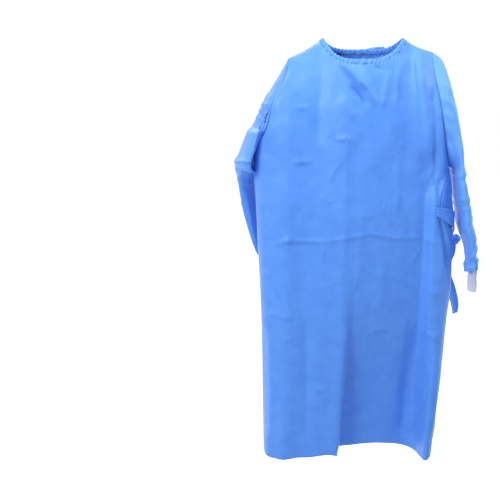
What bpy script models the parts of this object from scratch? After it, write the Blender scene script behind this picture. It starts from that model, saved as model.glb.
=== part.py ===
"""A surgical gown of thin nonwoven cloth, hanging hollow from its two neck points.

Units are metres, +Z up. The front of the gown faces -Y and +X is the wearer's left. The origin
is the middle of the line between the two neck points, where the gown is held up.
"""
import math
from typing import NamedTuple

import bmesh
import bpy
import numpy as np
from mathutils import Vector

# Driving sizes
HEM_DROP = 1.190           # neck points to hem
ARMPIT_DROP = 0.349        # neck points to armpits
NECK_HALF = 0.107          # half the distance between the neck points
NECK_FRONT = 0.060         # neckline's reach in front of the shoulder seams
NECK_BACK = 0.050          # and behind them
NECK_FRONT_DROP = 0.055    # front neckline below the neck points
NECK_BACK_DROP = 0.030     # back neckline below the neck points
NECK_LEFT_FLAT = 3.4       # how flat the neckline runs before it climbs, by its stretches
NECK_RIGHT_FLAT = 2.4
NECK_BACK_FLAT = 3.8
NECK_ROUND = 0.85          # how full the neckline's corners are across, and front to back
NECK_DEEP = 0.90
CASING_SPREAD = 0.85       # how far the casing widens at its sides per metre down it
CASING_STAND = 0.25        # and towards the front and the back
CASING_FALL = (0.50, 0.45)  # its drop per metre down it, at its sides and more in the middle
CASING = 0.012             # height of the gathered casing round the neck
WALL = 0.0015              # panels and sleeves
SEAM = 0.0003              # gap between pieces that are sewn together
EDGE = 0.0011              # half the gap where two walls meet at an angle
NECK_SEAM = 0.0014         # panels' edges below the casing, which they meet at an angle
SLEEVE_SEAM = 0.0018       # a sleeve's first ring beyond the armhole's line
TIP_LEFT = (-0.200, -0.052)   # shoulder tips, x and z
TIP_RIGHT = (0.190, -0.036)
SHOULDER_SAG = 0.003
OPENING_X = 0.060          # edge of the overlapping back panel
OVERLAP = 0.110            # how far the under panel runs on behind it
OVERLAP_GAP = 0.007        # space between the two lapped panels
LAP_AT_NECK = 0.002        # the same at the neck
LAP_FADE = (0.12, 0.10)    # where the under panel starts to sink, past the opening, and how softly
LAP_POWER = 3              # how fast the lap's space fades out along the neckline
OPENING_TRIM = 2.0         # degrees from the opening to a back panel's first point
ARMHOLE_FRONT = 0.062      # armhole's reach in front of the shoulder seam
ARMHOLE_BACK = 0.070       # and behind it
ARMHOLE_ROUND = 0.8        # how full its curve is
SLEEVE_WAVES = 8           # gathers where a sleeve meets its cuff
SLEEVE_GATHER = 0.0022
GATHER_ENDS = 0.6          # share of it at the seam and two rings above
CUFF_RIBS = 26
CUFF_RIB = 0.0007
CUFF_WALL = 0.0012
CUFF_SEAM = 0.0006
CASING_GAP = 2.4           # degrees between the casing's two ends, which the knot bridges
CASING_WAVES = 46
CASING_WAVE = 0.0011
CASING_LOW_WAVE = 0.5      # share of it at the casing's seam
CASING_WALL = 0.0018
CASING_TURN_OUT = (0.6, 0.45)  # sideways and upward parts of the way its face looks
STRAP_WALL = 0.0015
STRAP_CUP = 0.12           # a free strap's rise at its middle, as a share of its width
STRING_RADIUS = 0.0032     # neck drawstring
STRING_STEP = 4.5          # its stations' spacing in radii
STRING_LEAST = 12          # and their least number
KNOT_LOBES = 3
KNOT_SWELL = 0.10          # height of a knot's lobes
KNOT_WAIST = (0.12, 2.5)   # depth of its waist, and how often it comes round

# How finely the cloth is divided
FRONT_COLUMNS = 32
BACK_COLUMNS = 16
LOWER_ROWS = 15
UPPER_ROWS = 8
SLEEVE_COLUMNS = 24
FINE = 400
SHOULDER_COLUMNS = 7       # columns of the front under each shoulder seam
NECK_COLUMNS_RIGHT = 10    # columns of each back panel under the neckline
NECK_COLUMNS_LEFT = 5
WAVE_COLUMNS = 4           # columns of each wave of the casing
PULL_POWER = 4             # how fast an armhole's pull on the rows fades inwards
RISE_POWER = 0.55          # how early the chest and back round over towards the shoulders
ACROSS = (-0.5, 0.0, 0.5)  # places across a strap, as shares of its width


class BodyRow(NamedTuple):
    """One level section of the body: how far it reaches each way, and where its seams are."""

    z: float
    left: float
    right: float
    front: float
    back: float
    seam_left: float      # degrees round from the front's middle
    seam_right: float
    opening: float        # edge of the upper back panel


BODY = (
    BodyRow(-0.349, -0.299, 0.246, -0.082, 0.082, 90, 86, 0.060),
    BodyRow(-0.400, -0.295, 0.256, -0.086, 0.086, 90, 60, 0.062),
    BodyRow(-0.450, -0.291, 0.262, -0.088, 0.090, 90, 51, 0.064),
    BodyRow(-0.510, -0.288, 0.265, -0.087, 0.092, 90, 60, 0.066),
    BodyRow(-0.580, -0.285, 0.266, -0.085, 0.094, 90, 76, 0.064),
    BodyRow(-0.680, -0.279, 0.268, -0.086, 0.098, 90, 86, 0.061),
    BodyRow(-0.830, -0.273, 0.262, -0.090, 0.104, 90, 92, 0.058),
    BodyRow(-1.040, -0.269, 0.248, -0.097, 0.112, 90, 92, 0.056),
    BodyRow(-1.190, -0.266, 0.236, -0.103, 0.118, 90, 92, 0.055),
)
FRONT_SQUARE = 3.0         # how square the front and back of a section are
BACK_SQUARE = 2.3


class Fold(NamedTuple):
    """A vertical fold: pushed in between two x places, from nothing at one height to full."""

    left: float
    right: float
    soft_left: float
    soft_right: float
    depth: float
    z_none: float
    z_full: float
    lean: float           # how far its top lies towards +X of its foot


FRONT_FOLDS = (
    Fold(-0.054, 0.150, 0.018, 0.100, 0.052, -0.560, -1.190, 0.030),
    Fold(-0.054, 0.194, 0.018, 0.014, 0.034, -0.700, -1.190, 0.020),
    Fold(-0.130, 0.194, 0.180, 0.030, 0.032, -0.500, -1.190, 0.000),
    Fold(-0.205, -0.145, 0.020, 0.045, 0.010, -0.120, -0.900, 0.004),
    Fold(-0.236, -0.222, 0.012, 0.012, 0.010, -0.500, -1.100, 0.000),
    Fold(0.120, 0.172, 0.030, 0.020, 0.009, -0.100, -0.330, -0.030),
)
BACK_FOLDS = (
    Fold(-0.170, -0.085, 0.040, 0.030, 0.042, -0.450, -1.190, 0.010),
    Fold(0.120, 0.180, 0.028, 0.028, 0.034, -0.620, -1.190, -0.010),
    Fold(-0.030, 0.010, 0.030, 0.030, 0.016, -0.500, -1.190, 0.000),
)


class HemRow(NamedTuple):
    """How far the hem lies above (+) its level at one place across the gown."""

    x: float
    rise: float


HEM = (
    HemRow(-0.280, -0.007),
    HemRow(-0.230, -0.008),
    HemRow(-0.150, 0.001),
    HemRow(-0.060, 0.009),
    HemRow(0.030, 0.006),
    HemRow(0.120, 0.002),
    HemRow(0.200, -0.007),
    HemRow(0.250, -0.006),
)
HEM_REACH = 0.350          # height over which the hem's rise fades out


class EdgeRow(NamedTuple):
    """One height of an armhole, from the shoulder tip down, as a share of its drop."""

    share: float
    left: float
    right: float


ARMHOLE = (
    EdgeRow(0.00, TIP_LEFT[0], TIP_RIGHT[0]),
    EdgeRow(0.20, -0.217, 0.193),
    EdgeRow(0.41, -0.248, 0.206),
    EdgeRow(0.59, -0.259, 0.216),
    EdgeRow(0.84, -0.291, 0.231),
    EdgeRow(1.00, -0.299, 0.246),
)


class SleeveRow(NamedTuple):
    """One ring of a sleeve: its outer and underarm points, and its size front to back."""

    over_x: float
    over_z: float
    under_x: float
    under_z: float
    y: float
    half: float
    turn: float           # degrees about the vertical
    tilt: float           # front edge below the middle


SLEEVE_LEFT_ROWS = (
    SleeveRow(0.190, -0.036, 0.246, -0.349, 0.004, 0.066, 0, 0.000),
    SleeveRow(0.223, -0.066, 0.259, -0.353, 0.004, 0.068, 0, 0.000),
    SleeveRow(0.250, -0.140, 0.266, -0.359, 0.002, 0.072, 0, 0.002),
    SleeveRow(0.265, -0.200, 0.270, -0.372, 0.000, 0.075, 0, 0.004),
    SleeveRow(0.280, -0.290, 0.272, -0.396, 0.000, 0.077, 0, 0.006),
    SleeveRow(0.293, -0.372, 0.277, -0.430, 0.000, 0.075, 0, 0.004),
    SleeveRow(0.303, -0.440, 0.283, -0.474, -0.002, 0.070, 0, 0.000),
    SleeveRow(0.318, -0.505, 0.290, -0.522, -0.004, 0.062, 0, 0.000),
    SleeveRow(0.334, -0.562, 0.300, -0.568, -0.006, 0.053, 0, 0.000),
    SleeveRow(0.342, -0.602, 0.307, -0.603, -0.008, 0.044, 0, 0.000),
    SleeveRow(0.344, -0.622, 0.311, -0.622, -0.008, 0.037, 0, 0.000),
    SleeveRow(0.342, -0.636, 0.316, -0.636, -0.008, 0.0285, 0, 0.000),
)
SLEEVE_RIGHT_ROWS = (
    SleeveRow(-0.200, -0.052, -0.299, -0.349, 0.004, 0.066, 0, 0.000),
    SleeveRow(-0.227, -0.098, -0.308, -0.350, 0.003, 0.067, 0, 0.002),
    SleeveRow(-0.260, -0.154, -0.310, -0.350, 0.002, 0.071, 0, 0.006),
    SleeveRow(-0.291, -0.221, -0.311, -0.350, -0.003, 0.074, 0, 0.010),
    SleeveRow(-0.319, -0.276, -0.312, -0.351, -0.010, 0.074, 0, 0.014),
    SleeveRow(-0.344, -0.333, -0.310, -0.356, -0.008, 0.072, 4, 0.010),
    SleeveRow(-0.348, -0.358, -0.306, -0.370, 0.024, 0.070, -10, -0.010),
    SleeveRow(-0.330, -0.386, -0.292, -0.394, 0.054, 0.068, -26, -0.010),
    SleeveRow(-0.313, -0.436, -0.277, -0.440, 0.074, 0.064, -36, 0.000),
    SleeveRow(-0.303, -0.494, -0.267, -0.496, 0.086, 0.060, -38, 0.000),
    SleeveRow(-0.289, -0.560, -0.254, -0.560, 0.096, 0.052, -40, 0.000),
    SleeveRow(-0.279, -0.606, -0.247, -0.606, 0.102, 0.042, -40, 0.000),
    SleeveRow(-0.270, -0.628, -0.240, -0.628, 0.104, 0.035, -40, 0.000),
    SleeveRow(-0.264, -0.642, -0.238, -0.642, 0.104, 0.0285, -40, 0.000),
)
ARMHOLE_BLEND = 3.0        # rings over which the armhole's own line fades out


class CuffRow(NamedTuple):
    """One ring of a knitted cuff, below its seam."""

    x: float
    drop: float
    thin: float
    half: float


CUFF_ROWS = (
    CuffRow(0.000, 0.000, 0.0130, 0.0285),
    CuffRow(0.000, 0.014, 0.0108, 0.0250),
    CuffRow(0.001, 0.070, 0.0112, 0.0255),
)


class StrapRow(NamedTuple):
    """A station of a strap: the middle of its width, and which way the width points."""

    x: float
    y: float
    z: float
    width: float
    across_x: float
    across_y: float
    across_z: float


KNOT = (0.294, 0.092, -0.578)
KNOT_SIZE = (0.017, 0.012, 0.018)
STRAP_LIFT = 0.0011        # spare height of a strap over the panel that it lies on
TAIL_SHORT_ROWS = (
    StrapRow(0.297, 0.093, -0.5964, 0.014, 0.90, 0.44, 0.0),
    StrapRow(0.294, 0.1025, -0.622, 0.018, 0.96, 0.28, 0.0),
    StrapRow(0.279, 0.1085, -0.655, 0.028, 0.99, 0.10, 0.0),
    StrapRow(0.279, 0.108, -0.690, 0.034, 0.98, 0.20, 0.0),
    StrapRow(0.297, 0.103, -0.735, 0.036, 0.84, 0.54, 0.0),
    StrapRow(0.308, 0.097, -0.780, 0.036, 0.72, 0.69, 0.0),
    StrapRow(0.309, 0.096, -0.806, 0.026, 0.70, 0.71, 0.0),
)
TAIL_LONG_ROWS = (
    StrapRow(0.286, 0.094, -0.5956, 0.013, 0.92, 0.39, 0.0),
    StrapRow(0.265, 0.085, -0.630, 0.022, 0.94, 0.00, 0.0),
    StrapRow(0.246, 0.064, -0.700, 0.032, 0.86, -0.50, 0.0),
    StrapRow(0.228, 0.066, -0.800, 0.036, 0.86, -0.51, 0.0),
    StrapRow(0.212, 0.076, -0.920, 0.036, 0.84, -0.55, 0.0),
    StrapRow(0.204, 0.079, -1.040, 0.036, 0.76, -0.65, 0.0),
    StrapRow(0.201, 0.080, -1.095, 0.030, 0.76, -0.65, 0.0),
)


class RouteRow(NamedTuple):
    """A station of a strap that lies round the body, and how far it stands off it."""

    degrees: float
    z: float
    width: float
    off: float


STRAP_FRONT_ROUTE = (
    RouteRow(44.0, -0.466, 0.024, 0.000),
    RouteRow(53.0, -0.474, 0.036, 0.000),
    RouteRow(64.0, -0.485, 0.046, 0.000),
    RouteRow(78.0, -0.499, 0.050, 0.000),
    RouteRow(90.0, -0.514, 0.046, 0.001),
    RouteRow(98.0, -0.534, 0.036, 0.010),
    RouteRow(106.0, -0.556, 0.022, 0.027),
    RouteRow(112.0, -0.571, 0.013, 0.0532),
)
STRAP_BACK_ROUTE = (
    RouteRow(170.0, -0.500, 0.034, 0.000),
    RouteRow(160.0, -0.508, 0.034, 0.001),
    RouteRow(149.0, -0.521, 0.032, 0.006),
    RouteRow(138.0, -0.540, 0.028, 0.017),
    RouteRow(128.0, -0.560, 0.021, 0.035),
    RouteRow(120.0, -0.570, 0.016, 0.047),
    RouteRow(115.0, -0.576, 0.012, 0.0553),
)
NECK_KNOT = (0.0620, 0.0513, -0.0275)
NECK_KNOT_SIZE = (0.0078, 0.0060, 0.0068)
NECK_LONG_ROUTE = (
    (0.0704, 0.0512, -0.0285), (0.0820, 0.0518, -0.0335), (0.0950, 0.0510, -0.0480),
    (0.1050, 0.0475, -0.0720), (0.1090, 0.0480, -0.1050), (0.1105, 0.0540, -0.1500),
    (0.1110, 0.0605, -0.2000), (0.1112, 0.0665, -0.2500), (0.1115, 0.0718, -0.3000),
    (0.1120, 0.0745, -0.3350),
)
NECK_SHORT_ROUTE = (
    (0.0645, 0.0524, -0.0354), (0.0735, 0.0545, -0.0440), (0.0820, 0.0530, -0.0560),
    (0.0825, 0.0525, -0.0740), (0.0775, 0.0560, -0.0950), (0.0730, 0.0595, -0.1180),
    (0.0718, 0.0615, -0.1500), (0.0718, 0.0640, -0.1850),
)
NECK_BOW_ROUTE = (
    (0.0547, 0.0520, -0.0250), (0.0400, 0.0590, -0.0270), (0.0150, 0.0600, -0.0310),
    (-0.0080, 0.0605, -0.0380), (-0.0165, 0.0625, -0.0460), (-0.0120, 0.0640, -0.0545),
    (0.0080, 0.0645, -0.0560), (0.0330, 0.0625, -0.0500), (0.0460, 0.0600, -0.0430),
    (0.0551, 0.0538, -0.0333),
)


class Finish(NamedTuple):
    """A cloth's colour and roughness."""

    colour: tuple
    roughness: float


CLOTH_BLUE = Finish((0.125, 0.340, 0.880, 1.0), 0.6)
STRAP_BLUE = Finish((0.115, 0.320, 0.850, 1.0), 0.65)
KNIT_WHITE = Finish((0.780, 0.800, 0.880, 1.0), 0.9)


def smooth(value):
    """Ease a share from 0 to 1, level at both ends."""
    share = np.clip(value, 0.0, 1.0)
    return share * share * (3.0 - 2.0 * share)


def column(rows, key, name, at):
    """Read one column of a table smoothly at any value of its key column."""
    keys = np.array([getattr(row, key) for row in rows], float)
    values = np.array([getattr(row, name) for row in rows], float)
    order = np.argsort(keys)
    keys = keys[order]
    values = values[order]
    slopes = np.gradient(values, keys)
    at = np.clip(at, keys[0], keys[-1])
    index = np.clip(np.searchsorted(keys, at) - 1, 0, len(keys) - 2)
    span = keys[index + 1] - keys[index]
    t = (at - keys[index]) / span
    start = (1 + 2 * t) * (1 - t) ** 2 * values[index] + t * (1 - t) ** 2 * span * slopes[index]
    end = t * t * (3 - 2 * t) * values[index + 1] + t * t * (t - 1) * span * slopes[index + 1]
    return start + end


def fold_push(folds, x, z):
    """How far the folds push the cloth inwards at places x on the section at height z."""
    push = np.zeros_like(x)
    for fold in folds:
        grown = smooth((fold.z_none - z) / (fold.z_none - fold.z_full))
        lean = fold.lean * (1.0 - grown)
        rise = smooth((x - fold.left - lean) / fold.soft_left + 0.5)
        fall = smooth((fold.right + lean - x) / fold.soft_right + 0.5)
        push = push + fold.depth * grown * rise * fall
    return push


def body_section(z, degrees):
    """Points of the body's level section at height z, at angles round from the front's middle."""
    angle = np.radians(degrees)
    left = column(BODY, "z", "left", z)
    right = column(BODY, "z", "right", z)
    sine = np.sin(angle)
    cosine = np.cos(angle)
    square = np.where(cosine > 0, FRONT_SQUARE, BACK_SQUARE)
    reach = np.sign(sine) * np.abs(sine) ** (2.0 / square)
    x = (left + right) / 2 + (right - left) / 2 * reach
    depth = np.where(cosine > 0, column(BODY, "z", "front", z), column(BODY, "z", "back", z))
    y = depth * np.abs(cosine) ** (2.0 / square)
    y = y + np.where(cosine > 0, fold_push(FRONT_FOLDS, x, z), -fold_push(BACK_FOLDS, x, z))
    share = smooth((HEM_REACH - HEM_DROP - z) / HEM_REACH)
    return np.stack([x, y, z + share * column(HEM, "x", "rise", x)], axis=1)


def spaced(points, count, trim_start=0.0, trim_end=0.0):
    """Lay count + 1 points at even steps along a line of points, a little inside its ends."""
    steps = np.linalg.norm(np.diff(points, axis=0), axis=1)
    run = np.concatenate([[0.0], np.cumsum(steps)])
    at = np.linspace(trim_start, run[-1] - trim_end, count + 1)
    return np.stack([np.interp(at, run, points[:, axis]) for axis in range(3)], axis=1)


def level_rows():
    """Heights of the level rows, hem to armpit."""
    return np.linspace(-HEM_DROP, -ARMPIT_DROP, LOWER_ROWS + 1)


def front_line(z):
    """The front panel's section at one height, left seam to right seam."""
    first = -column(BODY, "z", "seam_left", z)
    last = column(BODY, "z", "seam_right", z)
    return body_section(z, np.linspace(first, last, FINE))


def back_line(z, upper):
    """A back panel's section at one height, from its free edge to its side seam."""
    edge = column(BODY, "z", "opening", z)
    ring = body_section(z, np.linspace(90.0, 270.0, FINE))
    if upper:
        seam = body_section(z, np.linspace(180.0, 360.0 - column(BODY, "z", "seam_left", z), FINE))
        over = ring[(ring[:, 0] < edge) & (ring[:, 0] > seam[0, 0])]
        return np.concatenate([over, seam])
    seam = body_section(z, np.linspace(180.0, column(BODY, "z", "seam_right", z), FINE))
    under = ring[(ring[:, 0] > edge - OVERLAP) & (ring[:, 0] < seam[0, 0])][::-1]
    line = np.concatenate([under, seam])
    inwards = OVERLAP_GAP * smooth((edge + LAP_FADE[0] - line[:, 0]) / LAP_FADE[1])
    line[:, 1] -= inwards * (line[:, 1] > 0)
    return line


def neck_point(turn, lowered):
    """A point of the neckline, turn degrees round from its front, or below its casing."""
    angle = math.radians(turn)
    sine = math.sin(angle)
    cosine = math.cos(angle)
    half = NECK_HALF + lowered * CASING_SPREAD * abs(sine)
    reach = NECK_FRONT if cosine > 0 else NECK_BACK
    drop = NECK_FRONT_DROP if cosine > 0 else NECK_BACK_DROP
    flat = NECK_BACK_FLAT if cosine < 0 else NECK_LEFT_FLAT if sine < 0 else NECK_RIGHT_FLAT
    x = half * math.copysign(abs(sine) ** NECK_ROUND, sine)
    y = -math.copysign(reach + lowered * CASING_STAND, cosine) * abs(cosine) ** NECK_DEEP
    fall = CASING_FALL[0] + CASING_FALL[1] * abs(cosine)
    z = -drop * (1.0 - abs(sine) ** flat) - lowered * fall
    return np.array([x, y, z])


def shoulder_line(side, count):
    """The shoulder seam from below the neck casing to the tip, side -1 or 1."""
    start = neck_point(90.0 * side, CASING + NECK_SEAM)
    tip = TIP_LEFT if side < 0 else TIP_RIGHT
    end = np.array([tip[0], 0.0, tip[1]])
    share = np.linspace(0.0, 1.0, count)[:, None]
    sag = np.array([0.0, 0.0, -SHOULDER_SAG]) * np.sin(np.pi * share)
    return start + (end - start) * share + sag


def armhole_point(side, share, facing):
    """A point of an armhole, share of the way down, on its front (-1) or back (1) edge."""
    tip = TIP_LEFT if side < 0 else TIP_RIGHT
    x = column(ARMHOLE, "share", "left" if side < 0 else "right", share)
    z = tip[1] + (-ARMPIT_DROP - tip[1]) * share
    reach = ARMHOLE_FRONT if facing < 0 else ARMHOLE_BACK
    end = body_section(-ARMPIT_DROP, np.array([side * seam_angle(side)]))[0, 1]
    curve = reach * math.sin(math.pi * share) ** ARMHOLE_ROUND + EDGE * (1 - share)
    y = facing * curve + end * share
    return np.array([x, y, z])


def seam_angle(side):
    """Degrees round to the side seam at the armpit."""
    name = "seam_left" if side < 0 else "seam_right"
    return float(column(BODY, "z", name, -ARMPIT_DROP))


def upper_rows(bottom, top, edges, facing):
    """Rows from the armpit line up to the shoulder line, kept to the armholes at their sides.

    edges holds the side for the first and the last column: -1, 1, or 0 for a free edge.
    """
    rows = []
    share_across = np.linspace(0.0, 1.0, len(bottom))
    for step in range(1, UPPER_ROWS + 1):
        up = step / UPPER_ROWS
        eased = 1.0 - (1.0 - up) ** RISE_POWER
        row = bottom + (top - bottom) * up
        row[:, 1] = bottom[:, 1] + (top[:, 1] - bottom[:, 1]) * eased
        ends = ((edges[0], 1.0 - share_across, 0), (edges[1], share_across, -1))
        for side, nearness, index in ends:
            if side == 0:
                continue
            wanted = armhole_point(side, 1.0 - up, facing)
            row = row + nearness[:, None] ** PULL_POWER * (wanted - row[index])
        rows.append(row)
    return rows


def front_grid():
    """Rows of the front panel, hem to neck."""
    rows = [spaced(front_line(z), FRONT_COLUMNS, SEAM, SEAM) for z in level_rows()]
    turns = np.linspace(-90.0, 90.0, FRONT_COLUMNS - 2 * SHOULDER_COLUMNS + 1)
    neck = np.array([neck_point(turn, CASING + NECK_SEAM) for turn in turns])
    left = shoulder_line(-1, SHOULDER_COLUMNS + 1)[::-1]
    right = shoulder_line(1, SHOULDER_COLUMNS + 1)
    top = np.concatenate([left[:-1], neck, right[1:]])
    top[:, 1] -= EDGE
    rows += upper_rows(rows[-1], top, (-1, 1), -1)
    return rows


def opening_turn():
    """Degrees round the neckline to the back opening."""
    return 180.0 - math.degrees(math.asin((OPENING_X / NECK_HALF) ** (1 / NECK_ROUND)))


def back_grid(upper):
    """Rows of a back panel, hem to neck, from its free edge to its seam."""
    rows = [spaced(back_line(z, upper), BACK_COLUMNS, 0.0, SEAM) for z in level_rows()]
    side = -1 if upper else 1
    columns = NECK_COLUMNS_RIGHT if upper else NECK_COLUMNS_LEFT
    first = opening_turn() - side * OPENING_TRIM
    turns = np.linspace(first, 270.0 if upper else 90.0, columns + 1)
    neck = np.array([neck_point(turn, CASING + NECK_SEAM) for turn in turns])
    shoulder = shoulder_line(side, BACK_COLUMNS - columns + 1)
    top = np.concatenate([neck, shoulder[1:]])
    top[:, 1] += EDGE
    if not upper:
        top[:, 1] -= LAP_AT_NECK * np.linspace(1.0, 0.0, len(top)) ** LAP_POWER
    rows += upper_rows(rows[-1], top, (0, side), 1)
    return rows


def sleeve_ring(row, turn):
    """A point of a sleeve's ring, turn radians round from its outer point."""
    across_x = (row.over_x - row.under_x) / 2 * math.cos(turn)
    across_y = -row.half * math.sin(turn)
    twist = math.radians(row.turn)
    x = (row.over_x + row.under_x) / 2 + across_x * math.cos(twist) - across_y * math.sin(twist)
    y = row.y + across_x * math.sin(twist) + across_y * math.cos(twist)
    z = (row.over_z + row.under_z) / 2 + (row.over_z - row.under_z) / 2 * math.cos(turn)
    return np.array([x, y, z - row.tilt * math.sin(turn)])


def sleeve_grid(rows, side):
    """Rings of a sleeve, armhole to cuff seam. The first point of each is its outer one."""
    rings = []
    turns = np.linspace(0.0, 2 * math.pi, SLEEVE_COLUMNS + 1)[:-1]
    for index, row in enumerate(rows):
        fade = max(0.0, 1.0 - index / ARMHOLE_BLEND) ** 2
        from_end = len(rows) - 1 - index
        gather = SLEEVE_GATHER * (1.0 if from_end == 1 else GATHER_ENDS if from_end < 3 else 0.0)
        ring = []
        for turn in turns:
            point = sleeve_ring(row, turn)
            facing = -1 if turn <= math.pi else 1
            hole = armhole_point(side, (1 - math.cos(turn)) / 2, facing)
            hole[0] += side * SLEEVE_SEAM
            point = point + (hole - sleeve_ring(rows[0], turn)) * fade
            wave = gather * math.cos(SLEEVE_WAVES * turn)
            middle = sleeve_ring(row, 0.0) * 0.5 + sleeve_ring(row, math.pi) * 0.5
            outwards = point - middle
            ring.append(point + outwards / max(np.linalg.norm(outwards), 1e-6) * wave)
        rings.append(np.array(ring))
    return rings


def cuff_surfaces(last, side):
    """Ribbed outer and plain inner rings of a cuff, below a sleeve's last row."""
    outer = []
    inner = []
    columns = CUFF_RIBS * 2
    middle_x = (last.over_x + last.under_x) / 2
    twist = math.radians(last.turn)
    for row in CUFF_ROWS:
        ring_out = []
        ring_in = []
        for index in range(columns):
            turn = 2 * math.pi * index / columns
            rib = CUFF_RIB if index % 2 == 0 else 0.0
            for ring, grow in ((ring_out, CUFF_WALL / 2 + rib), (ring_in, -CUFF_WALL / 2)):
                across_x = side * (row.thin + grow) * math.cos(turn)
                across_y = -(row.half + grow) * math.sin(turn)
                x = middle_x + side * row.x + across_x * math.cos(twist) - across_y * math.sin(twist)
                y = last.y + across_x * math.sin(twist) + across_y * math.cos(twist)
                ring.append((x, y, last.over_z - CUFF_SEAM - row.drop))
        outer.append(np.array(ring_out))
        inner.append(np.array(ring_in))
    return outer, inner


def casing_surfaces():
    """Gathered outer and inner faces of the neck casing, from one side of the opening round."""
    start = opening_turn() - 360.0 + CASING_GAP / 2
    end = opening_turn() - CASING_GAP / 2
    columns = CASING_WAVES * WAVE_COLUMNS
    outer = []
    inner = []
    for lowered in (0.0, CASING):
        ring_out = []
        ring_in = []
        for index in range(columns + 1):
            turn = start + (end - start) * index / columns
            point = neck_point(turn, lowered)
            angle = math.radians(turn)
            normal = np.array([math.sin(angle) * CASING_TURN_OUT[0], -math.cos(angle), CASING_TURN_OUT[1]])
            normal /= np.linalg.norm(normal)
            share = 1.0 if lowered == 0.0 else CASING_LOW_WAVE
            wave = CASING_WAVE * share * math.sin(2 * math.pi * index / WAVE_COLUMNS)
            ring_out.append(point + normal * (CASING_WALL / 2 + wave))
            ring_in.append(point + normal * (wave - CASING_WALL / 2))
        outer.append(np.array(ring_out))
        inner.append(np.array(ring_in))
    return outer, inner


def strap_on_body(route, lift):
    """Rows across a strap that lies round the body, lifted off its wall."""
    rows = []
    for row in route:
        line = []
        for share in ACROSS:
            height = row.z + share * row.width
            here = body_section(height, np.array([row.degrees - 1.0, row.degrees + 1.0]))
            along = here[1] - here[0]
            outwards = np.array([along[1], -along[0], 0.0]) / np.linalg.norm(along)
            line.append((here[0] + here[1]) / 2 + outwards * (lift + row.off))
        rows.append(np.array(line))
    return rows


def strap_free(table):
    """Rows across a strap that hangs free, slightly cupped across its width."""
    rows = []
    for row in table:
        across = np.array([row.across_x, row.across_y, row.across_z])
        across /= np.linalg.norm(across)
        middle = np.array([row.x, row.y, row.z])
        cup = np.cross((0.0, 0.0, 1.0), across) * row.width * STRAP_CUP
        rows.append(np.array([middle + across * row.width * s + cup * (s == 0) for s in ACROSS]))
    return rows


def material(name, finish):
    """A plain cloth material."""
    made = bpy.data.materials.new(name)
    made.use_nodes = True
    shader = made.node_tree.nodes["Principled BSDF"]
    shader.inputs["Base Color"].default_value = finish.colour
    shader.inputs["Roughness"].default_value = finish.roughness
    shader.inputs["Metallic"].default_value = 0.0
    made.diffuse_color = finish.colour
    return made


def add_object(name, mesh, finish, collection):
    """Put a mesh into the collection as a named object with its own material."""
    made = bpy.data.objects.new(name, mesh)
    collection.objects.link(made)
    mesh.materials.append(material(name + "_cloth", finish))
    mesh.shade_smooth()
    return made


def loft(rows, closed):
    """An open surface through rows of points, as a bmesh."""
    sheet = bmesh.new()
    grid = [[sheet.verts.new(point) for point in row] for row in rows]
    count = len(grid[0])
    for low, high in zip(grid[:-1], grid[1:]):
        for index in range(count if closed else count - 1):
            after = (index + 1) % count
            sheet.faces.new((low[index], low[after], high[after], high[index]))
    return sheet


def add_wall(name, rows, closed, wall, finish, collection):
    """A cloth wall: the surface through the rows, given its thickness on both sides."""
    sheet = loft(rows, closed)
    mesh = bpy.data.meshes.new(name)
    sheet.to_mesh(mesh)
    sheet.free()
    made = add_object(name, mesh, finish, collection)
    shell = made.modifiers.new("wall", "SOLIDIFY")
    shell.thickness = wall
    shell.offset = 0.0
    return made


def add_between(name, outer, inner, closed, finish, collection):
    """A wall between an outer and an inner surface that have the same rows and columns."""
    solid = bmesh.new()
    outside = [[solid.verts.new(point) for point in row] for row in outer]
    inside = [[solid.verts.new(point) for point in row] for row in inner]
    count = len(outside[0])
    for low in range(len(outside) - 1):
        for index in range(count if closed else count - 1):
            after = (index + 1) % count
            for grid, flip in ((outside, False), (inside, True)):
                face = [grid[low][index], grid[low][after], grid[low + 1][after], grid[low + 1][index]]
                solid.faces.new(face[::-1] if flip else face)
    for row, flip in ((0, True), (len(outside) - 1, False)):
        for index in range(count if closed else count - 1):
            after = (index + 1) % count
            face = [outside[row][index], outside[row][after], inside[row][after], inside[row][index]]
            solid.faces.new(face[::-1] if flip else face)
    if not closed:
        for index, flip in ((0, False), (count - 1, True)):
            for low in range(len(outside) - 1):
                face = [outside[low][index], outside[low + 1][index],
                        inside[low + 1][index], inside[low][index]]
                solid.faces.new(face[::-1] if flip else face)
    bmesh.ops.recalc_face_normals(solid, faces=solid.faces)
    mesh = bpy.data.meshes.new(name)
    solid.to_mesh(mesh)
    solid.free()
    return add_object(name, mesh, finish, collection)


def add_knot(name, centre, size, collection):
    """A soft knot: a ball with a waist where the cloth crosses itself."""
    ball = bmesh.new()
    bmesh.ops.create_uvsphere(ball, u_segments=14, v_segments=8, radius=1.0)
    for vertex in ball.verts:
        point = vertex.co
        round_about = math.atan2(point.y, point.x)
        lobe = KNOT_SWELL * math.cos(KNOT_LOBES * round_about)
        swell = 1.0 + lobe - KNOT_WAIST[0] * math.cos(KNOT_WAIST[1] * point.z)
        vertex.co = (point.x * swell * size[0], point.y * swell * size[1], point.z * size[2])
        vertex.co += Vector(centre)
    mesh = bpy.data.meshes.new(name)
    ball.to_mesh(mesh)
    ball.free()
    return add_object(name, mesh, STRAP_BLUE, collection)


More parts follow.
